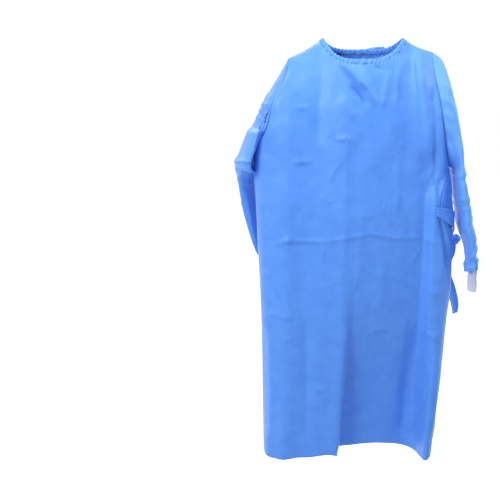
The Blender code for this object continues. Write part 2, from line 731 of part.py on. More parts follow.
def add_string(name, points, collection):
    """A round string through the points of its route, read from a smooth curve."""
    route = np.array(points)
    knots = np.concatenate([[0.0], np.cumsum(np.linalg.norm(np.diff(route, axis=0), axis=1))])
    count = max(STRING_LEAST, int(knots[-1] / (STRING_RADIUS * STRING_STEP)))
    at = np.linspace(0.0, knots[-1], count)
    slopes = np.gradient(route, knots, axis=0)
    index = np.clip(np.searchsorted(knots, at) - 1, 0, len(knots) - 2)
    span = (knots[index + 1] - knots[index])[:, None]
    t = (at[:, None] - knots[index][:, None]) / span
    start = (1 + 2 * t) * (1 - t) ** 2 * route[index] + t * (1 - t) ** 2 * span * slopes[index]
    end = t * t * (3 - 2 * t) * route[index + 1] + t * t * (t - 1) * span * slopes[index + 1]
    curve = bpy.data.curves.new(name, "CURVE")
    curve.dimensions = "3D"
    curve.bevel_depth = STRING_RADIUS
    curve.bevel_resolution = 2
    curve.use_fill_caps = True
    spline = curve.splines.new("POLY")
    spline.points.add(count - 1)
    for point, place in zip(spline.points, start + end):
        point.co = (*place, 1.0)
    made = bpy.data.objects.new(name, curve)
    collection.objects.link(made)
    curve.materials.append(material(name + "_cloth", STRAP_BLUE))
    return made


def add_panels(gown):
    """The front panel and the two back panels, the right one lapped over the left."""
    add_wall("front_panel", front_grid(), False, WALL, CLOTH_BLUE, gown)
    add_wall("back_panel_right", back_grid(True), False, WALL, CLOTH_BLUE, gown)
    add_wall("back_panel_left", back_grid(False), False, WALL, CLOTH_BLUE, gown)


def add_sleeves(gown):
    """Both sleeves with their gathered ends and knitted cuffs."""
    for name, rows, side in (("left", SLEEVE_LEFT_ROWS, 1), ("right", SLEEVE_RIGHT_ROWS, -1)):
        add_wall("sleeve_" + name, sleeve_grid(rows, side), True, WALL, CLOTH_BLUE, gown)
        outer, inner = cuff_surfaces(rows[-1], side)
        add_between("cuff_" + name, outer, inner, True, KNIT_WHITE, gown)


def add_neck(gown):
    """The gathered neck casing, its knot, and the drawstring's bow and free ends."""
    outer, inner = casing_surfaces()
    add_between("neck_casing", outer, inner, False, CLOTH_BLUE, gown)
    add_knot("neck_knot", NECK_KNOT, NECK_KNOT_SIZE, gown)
    add_string("neck_string_long", NECK_LONG_ROUTE, gown)
    add_string("neck_string_short", NECK_SHORT_ROUTE, gown)
    add_string("neck_string_bow", NECK_BOW_ROUTE, gown)


def add_belt(gown):
    """The two waist straps, the knot they are tied in, and its two tails."""
    lift = WALL / 2 + STRAP_WALL / 2 + SEAM + STRAP_LIFT
    front = strap_on_body(STRAP_FRONT_ROUTE, lift)
    back = strap_on_body(STRAP_BACK_ROUTE, lift)
    add_wall("belt_strap_left", front, False, STRAP_WALL, STRAP_BLUE, gown)
    add_wall("belt_strap_right", back, False, STRAP_WALL, STRAP_BLUE, gown)
    add_knot("belt_knot", KNOT, KNOT_SIZE, gown)
    add_wall("belt_tail_short", strap_free(TAIL_SHORT_ROWS), False, STRAP_WALL, STRAP_BLUE, gown)
    add_wall("belt_tail_long", strap_free(TAIL_LONG_ROWS), False, STRAP_WALL, STRAP_BLUE, gown)


def main():
    """Build every piece of the gown."""
    for old in list(bpy.data.objects):
        bpy.data.objects.remove(old, do_unlink=True)
    gown = bpy.data.collections.new("surgical_gown")
    bpy.context.scene.collection.children.link(gown)
    add_panels(gown)
    add_sleeves(gown)
    add_neck(gown)
    add_belt(gown)


main()
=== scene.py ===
"""A surgical gown of thin nonwoven cloth, hanging hollow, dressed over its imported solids.

Units are metres, +Z up. The front of the gown faces -Y and +X is the wearer's left. The origin
is the middle of the line between the two neck points, where the gown is held up.
"""

import logging
import math
from dataclasses import dataclass, field
from enum import Enum
from typing import Any, NamedTuple, Sequence

import bpy
import numpy as np
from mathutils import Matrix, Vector

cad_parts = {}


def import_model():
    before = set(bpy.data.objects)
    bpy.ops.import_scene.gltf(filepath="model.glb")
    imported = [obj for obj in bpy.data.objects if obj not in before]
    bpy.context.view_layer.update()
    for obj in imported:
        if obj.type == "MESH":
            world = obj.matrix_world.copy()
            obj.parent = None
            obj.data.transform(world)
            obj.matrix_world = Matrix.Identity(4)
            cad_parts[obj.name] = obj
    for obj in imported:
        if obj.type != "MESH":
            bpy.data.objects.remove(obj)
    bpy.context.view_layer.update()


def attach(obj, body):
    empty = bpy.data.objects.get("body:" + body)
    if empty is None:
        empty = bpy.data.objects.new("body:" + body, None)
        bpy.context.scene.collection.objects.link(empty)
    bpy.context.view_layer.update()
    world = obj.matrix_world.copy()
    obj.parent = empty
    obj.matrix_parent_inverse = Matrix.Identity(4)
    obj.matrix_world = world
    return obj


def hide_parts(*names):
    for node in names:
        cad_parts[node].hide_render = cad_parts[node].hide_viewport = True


LOG = logging.getLogger("surgical_gown")
Array = np.ndarray
BODY_NAME = "root"


class Side(Enum):
    """The wearer's side, by the sign of its x."""

    LEFT = 1
    RIGHT = -1


class Face(Enum):
    """Which way cloth looks, by the sign of its y."""

    FRONT = -1
    BACK = 1
    ALL = 0


class Edge(Enum):
    """How an edge of a piece of cloth ends."""

    FREE = "free"
    SEWN = "sewn"


# ---- the garment's own sizes, as in its solids ----


class BodyRow(NamedTuple):
    """One level section of the body: how far it reaches each way, and where its seams are."""

    z: float
    left: float
    right: float
    front: float
    back: float
    seam_left: float
    seam_right: float
    opening: float


BODY = (
    BodyRow(-0.349, -0.299, 0.246, -0.082, 0.082, 90, 86, 0.060),
    BodyRow(-0.400, -0.295, 0.256, -0.086, 0.086, 90, 60, 0.062),
    BodyRow(-0.450, -0.291, 0.262, -0.088, 0.090, 90, 51, 0.064),
    BodyRow(-0.510, -0.288, 0.265, -0.087, 0.092, 90, 60, 0.066),
    BodyRow(-0.580, -0.285, 0.266, -0.085, 0.094, 90, 76, 0.064),
    BodyRow(-0.680, -0.279, 0.268, -0.086, 0.098, 90, 86, 0.061),
    BodyRow(-0.830, -0.273, 0.255, -0.090, 0.104, 90, 92, 0.058),
    BodyRow(-1.040, -0.269, 0.240, -0.097, 0.112, 90, 92, 0.056),
    BodyRow(-1.190, -0.266, 0.231, -0.103, 0.118, 90, 92, 0.055),
)


class Fold(NamedTuple):
    """A vertical fold: pushed in between two x places, from nothing at one height to full."""

    left: float
    right: float
    soft_left: float
    soft_right: float
    depth: float
    z_none: float
    z_full: float
    lean: float


FRONT_FOLDS = (
    Fold(-0.050, 0.180, 0.013, 0.080, 0.046, -0.560, -1.190, 0.030),
    Fold(-0.050, 0.196, 0.013, 0.016, 0.030, -0.700, -1.190, 0.020),
    Fold(-0.130, 0.200, 0.180, 0.030, 0.022, -0.500, -1.190, 0.000),
    Fold(-0.196, -0.140, 0.050, 0.060, 0.009, -0.120, -0.900, 0.004),
    Fold(-0.240, -0.222, 0.030, 0.030, 0.004, -0.500, -1.100, 0.000),
    Fold(0.075, 0.190, 0.250, 0.030, 0.028, -0.060, -0.420, -0.045),
)
BACK_FOLDS = (
    Fold(-0.170, -0.085, 0.040, 0.030, 0.042, -0.450, -1.190, 0.010),
    Fold(0.120, 0.180, 0.028, 0.028, 0.034, -0.620, -1.190, -0.010),
    Fold(-0.030, 0.010, 0.030, 0.030, 0.016, -0.500, -1.190, 0.000),
)


class HemRow(NamedTuple):
    """How far the hem lies above its level at one place across the gown."""

    x: float
    rise: float


HEM = (
    HemRow(-0.280, -0.007), HemRow(-0.230, -0.008), HemRow(-0.150, 0.001), HemRow(-0.062, 0.0070),
    HemRow(-0.044, 0.002), HemRow(-0.020, 0.004), HemRow(0.030, 0.008), HemRow(0.120, -0.001),
    HemRow(0.165, -0.012), HemRow(0.200, -0.020), HemRow(0.225, -0.014), HemRow(0.250, -0.008),
)


class EdgeRow(NamedTuple):
    """One height of an armhole, from the shoulder tip down, as a share of its drop."""

    share: float
    left: float
    right: float


ARMHOLE = (
    EdgeRow(0.00, -0.200, 0.190), EdgeRow(0.20, -0.217, 0.193), EdgeRow(0.41, -0.248, 0.206),
    EdgeRow(0.59, -0.259, 0.216), EdgeRow(0.84, -0.291, 0.231), EdgeRow(1.00, -0.299, 0.246),
)


class SleeveRow(NamedTuple):
    """One ring of a sleeve: its outer and underarm points, and its size front to back."""

    over_x: float
    over_z: float
    under_x: float
    under_z: float
    y: float
    half: float
    turn: float
    tilt: float


SLEEVE_LEFT = (
    SleeveRow(0.190, -0.036, 0.246, -0.349, 0.004, 0.066, 0, 0.000),
    SleeveRow(0.223, -0.066, 0.259, -0.353, 0.004, 0.068, 0, 0.000),
    SleeveRow(0.246, -0.140, 0.266, -0.359, 0.002, 0.072, 0, 0.002),
    SleeveRow(0.259, -0.200, 0.270, -0.372, 0.000, 0.075, 0, 0.004),
    SleeveRow(0.275, -0.290, 0.272, -0.396, 0.000, 0.077, 0, 0.006),
    SleeveRow(0.290, -0.372, 0.277, -0.430, 0.000, 0.075, 0, 0.004),
    SleeveRow(0.303, -0.440, 0.283, -0.474, -0.002, 0.070, 0, 0.000),
    SleeveRow(0.315, -0.505, 0.290, -0.522, -0.004, 0.062, 0, 0.000),
    SleeveRow(0.328, -0.562, 0.300, -0.568, -0.006, 0.053, 0, 0.000),
    SleeveRow(0.337, -0.602, 0.307, -0.603, -0.008, 0.044, 0, 0.000),
    SleeveRow(0.340, -0.618, 0.306, -0.632, -0.008, 0.040, 0, 0.000),
    SleeveRow(0.341, -0.632, 0.308, -0.650, -0.008, 0.036, 0, 0.000),
    SleeveRow(0.342, -0.636, 0.316, -0.642, -0.008, 0.0285, 0, 0.000),
)
SLEEVE_RIGHT = (
    SleeveRow(-0.200, -0.052, -0.299, -0.349, 0.004, 0.066, 0, 0.000),
    SleeveRow(-0.227, -0.098, -0.308, -0.350, 0.003, 0.067, 0, 0.002),
    SleeveRow(-0.260, -0.154, -0.310, -0.350, 0.002, 0.071, 0, 0.006),
    SleeveRow(-0.291, -0.221, -0.306, -0.350, -0.003, 0.074, 0, 0.010),
    SleeveRow(-0.319, -0.276, -0.300, -0.352, -0.010, 0.074, 0, 0.014),
    SleeveRow(-0.344, -0.333, -0.293, -0.358, -0.008, 0.072, 4, 0.010),
    SleeveRow(-0.348, -0.358, -0.289, -0.376, 0.024, 0.070, -10, -0.010),
    SleeveRow(-0.330, -0.386, -0.283, -0.400, 0.054, 0.068, -26, -0.010),
    SleeveRow(-0.313, -0.436, -0.277, -0.440, 0.074, 0.064, -36, 0.000),
    SleeveRow(-0.303, -0.494, -0.267, -0.496, 0.086, 0.060, -38, 0.000),
    SleeveRow(-0.289, -0.560, -0.254, -0.560, 0.096, 0.052, -40, 0.000),
    SleeveRow(-0.279, -0.606, -0.247, -0.606, 0.102, 0.042, -40, 0.000),
    SleeveRow(-0.270, -0.628, -0.240, -0.628, 0.104, 0.035, -40, 0.000),
    SleeveRow(-0.264, -0.642, -0.238, -0.642, 0.104, 0.0285, -40, 0.000),
)


class CuffRow(NamedTuple):
    """One ring of a knitted cuff, below its seam."""

    drop: float
    x: float
    thin: float
    half: float


CUFF = (
    CuffRow(0.000, 0.0000, 0.0130, 0.0285), CuffRow(0.006, 0.0000, 0.0120, 0.0268),
    CuffRow(0.014, 0.0000, 0.0108, 0.0250), CuffRow(0.040, 0.0005, 0.0110, 0.0252),
    CuffRow(0.062, 0.0009, 0.0112, 0.0255), CuffRow(0.070, 0.0010, 0.0113, 0.0257),
)


class StrapRow(NamedTuple):
    """A station of a free strap: the middle of its width, and which way the width points."""

    x: float
    y: float
    z: float
    width: float
    across_x: float
    across_y: float


TAIL_SHORT = (
    StrapRow(0.297, 0.093, -0.5900, 0.012, 0.90, 0.44),
    StrapRow(0.294, 0.1025, -0.622, 0.018, 0.96, 0.28),
    StrapRow(0.279, 0.1085, -0.655, 0.028, 0.99, 0.10),
    StrapRow(0.279, 0.108, -0.690, 0.034, 0.98, 0.20),
    StrapRow(0.297, 0.103, -0.735, 0.036, 0.84, 0.54),
    StrapRow(0.308, 0.097, -0.780, 0.036, 0.72, 0.69),
    StrapRow(0.309, 0.096, -0.806, 0.026, 0.70, 0.71),
)
TAIL_LONG = (
    StrapRow(0.288, 0.0935, -0.5890, 0.012, 0.92, 0.39),
    StrapRow(0.265, 0.085, -0.630, 0.022, 0.94, 0.00),
    StrapRow(0.246, 0.064, -0.700, 0.032, 0.86, -0.50),
    StrapRow(0.228, 0.066, -0.800, 0.036, 0.86, -0.51),
    StrapRow(0.212, 0.076, -0.920, 0.036, 0.84, -0.55),
    StrapRow(0.204, 0.079, -1.040, 0.036, 0.76, -0.65),
    StrapRow(0.201, 0.080, -1.095, 0.030, 0.76, -0.65),
)


class RouteRow(NamedTuple):
    """A station of a strap that lies round the body, and how far it stands off it."""

    degrees: float
    z: float
    width: float
    off: float


STRAP_FRONT = (
    RouteRow(44.0, -0.466, 0.024, 0.004), RouteRow(53.0, -0.474, 0.036, 0.005),
    RouteRow(64.0, -0.485, 0.046, 0.005), RouteRow(78.0, -0.499, 0.050, 0.003),
    RouteRow(90.0, -0.514, 0.046, 0.002), RouteRow(98.0, -0.534, 0.036, 0.010),
    RouteRow(106.0, -0.556, 0.022, 0.027), RouteRow(112.5, -0.572, 0.012, 0.0560),
)
STRAP_BACK = (
    RouteRow(170.0, -0.500, 0.034, 0.000), RouteRow(160.0, -0.508, 0.034, 0.001),
    RouteRow(149.0, -0.521, 0.032, 0.006), RouteRow(138.0, -0.540, 0.028, 0.017),
    RouteRow(128.0, -0.560, 0.021, 0.035), RouteRow(120.0, -0.570, 0.016, 0.047),
    RouteRow(114.0, -0.577, 0.011, 0.0575),
)
STRING_LONG = (
    (0.0704, 0.0512, -0.0285), (0.0820, 0.0518, -0.0335), (0.0950, 0.0510, -0.0480),
    (0.1050, 0.0475, -0.0720), (0.1090, 0.0480, -0.1050), (0.1105, 0.0540, -0.1500),
    (0.1110, 0.0605, -0.2000), (0.1112, 0.0665, -0.2500), (0.1115, 0.0718, -0.3000),
    (0.1120, 0.0745, -0.3350),
)
STRING_SHORT = (
    (0.0645, 0.0524, -0.0354), (0.0735, 0.0545, -0.0440), (0.0820, 0.0530, -0.0560),
    (0.0825, 0.0525, -0.0740), (0.0775, 0.0560, -0.0950), (0.0730, 0.0595, -0.1180),
    (0.0718, 0.0615, -0.1500), (0.0718, 0.0640, -0.1850),
)
STRING_BOW = (
    (0.0547, 0.0520, -0.0250), (0.0400, 0.0590, -0.0270), (0.0150, 0.0600, -0.0310),
    (-0.0080, 0.0605, -0.0380), (-0.0165, 0.0625, -0.0460), (-0.0120, 0.0640, -0.0545),
    (0.0080, 0.0645, -0.0560), (0.0330, 0.0625, -0.0500), (0.0460, 0.0600, -0.0430),
    (0.0551, 0.0538, -0.0333),
)


# ---- creases given one by one: seen along its line, a crease has a left and a right slope ----


class Crease(NamedTuple):
    """A ridge (+) or trough (-) along a line of x, z places, with slopes of its own widths."""

    line: tuple
    left: float
    right: float
    height: float
    crest: float = 0.15
    face: Face = Face.ALL


class Dent(NamedTuple):
    """A round hollow (-) or swelling (+) at an x, z place."""

    x: float
    z: float
    wide: float
    tall: float
    height: float
    face: Face = Face.ALL


FRONT_CREASES = (
    Crease(((-0.192, -1.190), (-0.195, -0.830), (-0.199, -0.350), (-0.200, -0.070)), .060, .060, .0075, .16),
    Crease(((-0.046, -1.190), (-0.049, -0.700), (-0.047, -0.349), (-0.056, -0.130)), .070, .034, .0075, .06),
    Crease(((0.180, -0.340), (0.169, -0.241), (0.156, -0.135), (0.143, -0.026)), .046, .030, .0135, .12),
    Crease(((0.204, -0.440), (0.202, -0.370), (0.198, -0.300), (0.190, -0.200), (0.184, -0.110)),
           .044, .026, -.0120, .16),
    Crease(((0.228, -0.700), (0.228, -0.620), (0.222, -0.530)), .034, .020, .0066, .18),
    Crease(((0.218, -1.160), (0.226, -0.960), (0.234, -0.760)), .026, .030, .0056, .18),
    Crease(((0.217, -0.360), (0.222, -0.440), (0.232, -0.520), (0.244, -0.600), (0.250, -0.660)),
           .014, .016, -.0100, .08),
    Crease(((-0.268, -0.559), (-0.238, -0.562), (-0.200, -0.545), (-0.156, -0.551), (-0.109, -0.549),
            (-0.060, -0.542), (-0.019, -0.534), (0.023, -0.528), (0.056, -0.534), (0.092, -0.542),
            (0.128, -0.545), (0.169, -0.545), (0.215, -0.548)), .014, .0060, .0038, .03),
    Crease(((-0.091, -0.040), (-0.056, -0.072), (-0.026, -0.103), (0.008, -0.139)), .034, .012, .0150, .10),
    Crease(((-0.044, -0.118), (-0.014, -0.141), (0.014, -0.184)), .009, .011, -.0105, .12),
    Crease(((-0.030, -0.106), (0.004, -0.133), (0.022, -0.158), (0.040, -0.182)), .014, .007, .0059, .08),
    Crease(((-0.070, -0.150), (-0.050, -0.180), (-0.020, -0.216)), .020, .020, .0054, .15),
    Crease(((-0.192, -0.187), (-0.168, -0.184), (-0.144, -0.187)), .014, .006, .0041, .04),
    Crease(((-0.193, -0.331), (-0.166, -0.328), (-0.138, -0.330)), .016, .006, .0048, .04),
    Crease(((-0.082, -0.260), (-0.062, -0.268), (-0.052, -0.262), (-0.032, -0.274)), .009, .006, .0048, .05),
    Crease(((-0.086, -0.380), (-0.084, -0.352)), .010, .006, .0037, .05),
    Crease(((0.024, -0.071), (0.050, -0.086)), .007, .007, -.0041, .08),
    Crease(((0.191, -0.821), (0.207, -0.826), (0.224, -0.838)), .012, .006, .0058, .05),
    Crease(((-0.276, -0.648), (-0.262, -0.651), (-0.244, -0.650)), .014, .006, .0044, .04),
    Crease(((-0.268, -0.770), (-0.236, -0.764), (-0.210, -0.772), (-0.182, -0.769)), .016, .008, .0041, .04),
    Crease(((-0.216, -0.846), (-0.200, -0.832), (-0.186, -0.830)), .010, .006, .0037, .05),
    Crease(((-0.132, -0.980), (-0.110, -0.983), (-0.086, -0.981)), .012, .006, .0037, .05),
    Crease(((0.032, -0.822), (0.060, -0.812), (0.092, -0.820)), .018, .010, .0034, .08),
    Crease(((-0.120, -0.420), (-0.090, -0.436), (-0.070, -0.430)), .012, .008, .0027, .06),
    Crease(((0.095, -0.480), (0.100, -0.400), (0.096, -0.320)), .022, .018, .0037, .12),
    Crease(((0.060, -0.760), (0.066, -0.660), (0.060, -0.600)), .026, .020, .0034, .15),
    Crease(((-0.012, -0.700), (-0.006, -0.560), (-0.010, -0.450)), .030, .026, .0037, .15),
    Crease(((-0.150, -1.150), (-0.146, -0.940), (-0.152, -0.760)), .020, .024, -.0051, .15),
    Crease(((0.046, -0.190), (0.060, -0.120), (0.066, -0.075)), .014, .016, .0044, .12),
    Crease(((0.086, -0.190), (0.088, -0.110), (0.086, -0.066)), .016, .014, .0051, .12),
    Crease(((-0.262, -1.160), (-0.266, -0.980), (-0.270, -0.800)), .012, .020, -.0054, .15),
    Crease(((-0.253, -0.210), (-0.222, -0.120), (-0.206, -0.070)), .016, .024, .0064, .10),
    Crease(((-0.120, -0.300), (-0.124, -0.180), (-0.110, -0.070)), .030, .030, -.0051, .15),
    Crease(((0.130, -1.150), (0.126, -0.950), (0.136, -0.760)), .050, .036, .0051, .20),
)
FRONT_DENTS = (
    Dent(-0.267, -0.294, .022, .030, -.0070), Dent(-0.202, -0.545, .008, .0070, .0044),
    Dent(-0.190, -0.558, .007, .006, -.0034), Dent(0.217, -0.696, .016, .0130, .0056),
    Dent(-0.150, -1.030, .026, .0200, .0026), Dent(0.088, -0.900, .012, .012, -.0018),
    Dent(0.100, -1.020, .040, .1100, .0040), Dent(-0.030, -0.480, .050, .0500, .0022),
    Dent(0.110, -0.260, .030, .060, -.0026), Dent(-0.120, -0.240, .035, .050, -.0022),
    Dent(0.010, -0.340, .040, .0600, .0020), Dent(0.150, -0.620, .030, .050, -.0024),
    Dent(-0.236, -0.430, .026, .0600, .0032), Dent(0.205, -0.300, .014, .040, -.0026),
)
BACK_CREASES = (
    Crease(((-0.262, -0.556), (-0.180, -0.548), (-0.090, -0.556), (0.030, -0.552)), .020, .010, .0049, .05),
    Crease(((0.070, -0.566), (0.130, -0.560), (0.180, -0.566)), .016, .010, .0044, .05),
    Crease(((-0.196, -1.160), (-0.200, -0.760), (-0.196, -0.330), (-0.180, -0.100)), .050, .046, .0074, .07),
    Crease(((-0.040, -0.700), (-0.034, -0.400), (-0.040, -0.110)), .036, .040, .0067, .12),
    Crease(((0.030, -1.160), (0.026, -0.800), (0.034, -0.420), (0.046, -0.120)), .034, .022, .0067, .12),
    Crease(((0.236, -0.560), (0.200, -0.450), (0.150, -0.330), (0.120, -0.220)), .024, .020, .0074, .12),
    Crease(((0.240, -0.556), (0.214, -0.460), (0.200, -0.360)), .016, .014, .0054, .12),
    Crease(((0.232, -0.572), (0.170, -0.500), (0.104, -0.440)), .016, .020, .0054, .12),
    Crease(((0.244, -0.590), (0.214, -0.700), (0.190, -0.860)), .016, .020, .0058, .12),
    Crease(((0.238, -0.600), (0.170, -0.690), (0.130, -0.800)), .020, .016, .0063, .12),
    Crease(((-0.220, -0.500), (-0.150, -0.420), (-0.100, -0.320)), .018, .016, .0054, .10),
    Crease(((-0.240, -0.700), (-0.236, -0.860), (-0.246, -1.000)), .020, .018, .0059, .12),
    Crease(((-0.110, -0.186), (-0.060, -0.182), (-0.010, -0.190)), .014, .008, .0031, .05),
    Crease(((-0.170, -0.770), (-0.120, -0.776), (-0.070, -0.770)), .012, .007, .0032, .05),
    Crease(((0.090, -0.880), (0.140, -0.876), (0.180, -0.884)), .012, .007, .0036, .05),
    Crease(((-0.090, -1.010), (-0.050, -1.004), (-0.020, -1.012)), .010, .006, .0031, .05),
)
BACK_DENTS = (
    Dent(-0.100, -0.300, .050, .070, -.0026), Dent(-0.140, -0.640, .040, .0600, .0024),
    Dent(0.120, -0.380, .040, .050, -.0030), Dent(0.200, -0.620, .020, .030, -.0030),
    Dent(0.080, -0.700, .034, .0600, .0022), Dent(-0.060, -0.880, .030, .0600, .0020),
    Dent(-0.220, -0.240, .020, .040, -.0024), Dent(0.170, -1.000, .030, .0800, .0026),
)
SLEEVE_LEFT_CREASES = (
    Crease(((0.194, -0.120), (0.216, -0.126), (0.232, -0.150)), .012, .006, .0060, .06),
    Crease(((0.198, -0.160), (0.220, -0.164), (0.242, -0.190)), .012, .006, .0066, .06),
    Crease(((0.202, -0.196), (0.224, -0.202), (0.244, -0.226)), .012, .006, .0064, .06),
    Crease(((0.210, -0.226), (0.230, -0.244), (0.246, -0.276)), .014, .008, .0070, .06),
    Crease(((0.222, -0.320), (0.226, -0.280), (0.224, -0.236)), .010, .014, -.0070, .10),
    Crease(((0.222, -0.280), (0.238, -0.292), (0.252, -0.322)), .014, .008, .0050, .08),
    Crease(((0.306, -0.570), (0.284, -0.440), (0.261, -0.300), (0.240, -0.190), (0.212, -0.080)),
           .026, .016, .0085, .16),
    Crease(((0.326, -0.590), (0.310, -0.500), (0.294, -0.420)), .014, .012, .0046, .10),
    Crease(((0.272, -0.372), (0.284, -0.380), (0.296, -0.376)), .018, .014, -.0030, .10),
    Crease(((0.282, -0.436), (0.292, -0.430), (0.302, -0.440)), .018, .014, .0012, .08),
    Crease(((0.296, -0.500), (0.306, -0.508), (0.318, -0.500)), .018, .014, -.0026, .10),
    Crease(((0.312, -0.612), (0.322, -0.588), (0.330, -0.560)), .008, .007, .0050, .06),
    Crease(((0.322, -0.622), (0.334, -0.604), (0.342, -0.584)), .007, .006, -.0050, .06),
    Crease(((0.338, -0.630), (0.342, -0.612), (0.346, -0.592)), .006, .006, .0044, .06),
    Crease(((0.304, -0.636), (0.314, -0.618), (0.318, -0.600)), .006, .006, -.0040, .06),
)
SLEEVE_LEFT_DENTS = (
    Dent(0.236, -0.176, .012, .012, -.0034), Dent(0.244, -0.262, .014, .014, -.0036),
    Dent(0.264, -0.340, .012, .020, -.0044), Dent(0.292, -0.470, .010, .022, -.0030),
    Dent(0.262, -0.140, .012, .030, .0034), Dent(0.318, -0.548, .010, .020, .0026),
    Dent(0.330, -0.618, .008, .008, -.0040), Dent(0.316, -0.632, .008, .008, .0036),
)
SLEEVE_RIGHT_CREASES = (
    Crease(((-0.318, -0.240), (-0.290, -0.237), (-0.258, -0.240)), .046, .012, -.0110, .05, Face.FRONT),
    Crease(((-0.280, -0.176), (-0.268, -0.182), (-0.254, -0.176)), .009, .005, .0080, .05, Face.FRONT),
    Crease(((-0.286, -0.192), (-0.272, -0.200), (-0.254, -0.194)), .009, .005, .0090, .05, Face.FRONT),
    Crease(((-0.294, -0.210), (-0.276, -0.217), (-0.256, -0.210)), .009, .005, .0084, .05, Face.FRONT),
    Crease(((-0.262, -0.240), (-0.284, -0.250), (-0.318, -0.262)), .012, .010, .0034, .10),
    Crease(((-0.336, -0.318), (-0.318, -0.268), (-0.292, -0.212), (-0.246, -0.128)), .018, .018, .0044, .12),
    Crease(((-0.352, -0.342), (-0.330, -0.334), (-0.302, -0.326)), .018, .005, .0110, .02),
    Crease(((-0.352, -0.356), (-0.336, -0.350), (-0.320, -0.346)), .008, .014, -.0060, .06),
    Crease(((-0.346, -0.380), (-0.326, -0.396), (-0.300, -0.404)), .014, .012, .0040, .10),
    Crease(((-0.284, -0.610), (-0.304, -0.520), (-0.322, -0.410)), .012, .016, .0052, .08),
    Crease(((-0.262, -0.600), (-0.276, -0.520), (-0.290, -0.440)), .010, .010, .0030, .12),
)
SLEEVE_RIGHT_DENTS = (
    Dent(-0.268, -0.208, .016, .024, -.0150, Face.FRONT), Dent(-0.300, -0.300, .014, .018, .0034),
    Dent(-0.318, -0.360, .014, .010, -.0036), Dent(-0.300, -0.460, .012, .026, -.0030),
    Dent(-0.276, -0.560, .010, .024, .0024), Dent(-0.240, -0.150, .012, .020, -.0030),
)


# ---- small tools of form ----


def smooth(value: Any) -> Any:
    """Ease a share from 0 to 1, level at both ends.

    Args:
        value: A number or an array of them.

    Returns:
        The eased share, of the same shape.
    """
    share = np.clip(value, 0.0, 1.0)
    return share * share * (3.0 - 2.0 * share)


def hermite(keys: Array, values: Array, at: Any) -> Any:
    """Read values smoothly at any place between their keys.

    Args:
        keys: Growing keys.
        values: One value, or one row of values, for each key.
        at: Where to read, a number or an array.

    Returns:
        The values there.
    """
    slopes = np.gradient(values, keys, axis=0)
    at = np.clip(np.asarray(at, float), keys[0], keys[-1])
    index = np.clip(np.searchsorted(keys, at) - 1, 0, len(keys) - 2)
    span = keys[index + 1] - keys[index]
    t = (at - keys[index]) / span
    if values.ndim > 1:
        span, t = span[..., None], t[..., None]
    start = (1 + 2 * t) * (1 - t) ** 2 * values[index] + t * (1 - t) ** 2 * span * slopes[index]
    end = t * t * (3 - 2 * t) * values[index + 1] + t * t * (t - 1) * span * slopes[index + 1]
    return start + end


def column(rows: Sequence[Any], key: str, name: str, at: Any) -> Any:
    """Read one column of a table smoothly at any value of its key column.

    Args:
        rows: The table.
        key: The key column's name.
        name: The column to read.
        at: Where to read.

    Returns:
        The values there.
    """
    keys = np.array([getattr(row, key) for row in rows], float)
    values = np.array([getattr(row, name) for row in rows], float)
    order = np.argsort(keys)
    return hermite(keys[order], values[order], at)


def spaced(points: Array, count: int, start: float = 0.0, end: float = 0.0) -> Array:
    """Lay count + 1 points at even steps along a line of points.

    Args:
        points: The line.
        count: Its number of steps.
        start: How far in from its first point the row begins.
        end: How far in from its last point the row ends.

    Returns:
        The points.
    """
    run = np.concatenate([[0.0], np.cumsum(np.linalg.norm(np.diff(points, axis=0), axis=1))])
    at = np.linspace(start, run[-1] - end, count + 1)
    return np.stack([np.interp(at, run, points[:, axis]) for axis in range(3)], axis=1)


def blurred(values: Array, reach: float) -> Array:
    """Blur values along their first axis, and keep the first and last where they are.

    Args:
        values: The values.
        reach: The blur's spread, as a share of the axis.

    Returns:
        The blurred values.
    """
    spread = reach * len(values)
    if spread < 0.3:
        return values.copy()
    half = min(int(spread * 3) + 1, len(values) - 1)
    weights = np.exp(-0.5 * (np.arange(-half, half + 1) / spread) ** 2)
    weights /= weights.sum()
    head = 2 * values[:1] - values[half:0:-1]
    tail = 2 * values[-1:] - values[-2:-half - 2:-1]
    padded = np.concatenate([head, values, tail], axis=0)
    return sum(weight * padded[step:step + len(values)] for step, weight in enumerate(weights))


@dataclass
class Unevenness:
    """Smooth, seeded noise over a plane, the hand of cloth that is nowhere quite flat."""

    seed: int
    cells: int = 64
    table: Array = field(init=False)

    def __post_init__(self) -> None:
        """Draw the table of heights."""
        self.table = np.random.default_rng(self.seed).uniform(-1.0, 1.0, (self.cells, self.cells))

    def at(self, across: Array, along: Array) -> Array:
        """Read the noise.

        Args:
            across: Places across, in cells.
            along: Places along, in cells.

        Returns:
            Heights between -1 and 1.
        """
        low_u, low_v = np.floor(across).astype(int), np.floor(along).astype(int)
        u, v = smooth(across - low_u), smooth(along - low_v)
        n = self.cells
        rows = [[self.table[(low_v + j) % n, (low_u + i) % n] for i in (0, 1)] for j in (0, 1)]
        return (rows[0][0] * (1 - u) + rows[0][1] * u) * (1 - v) + (rows[1][0] * (1 - u) + rows[1][1] * u) * v


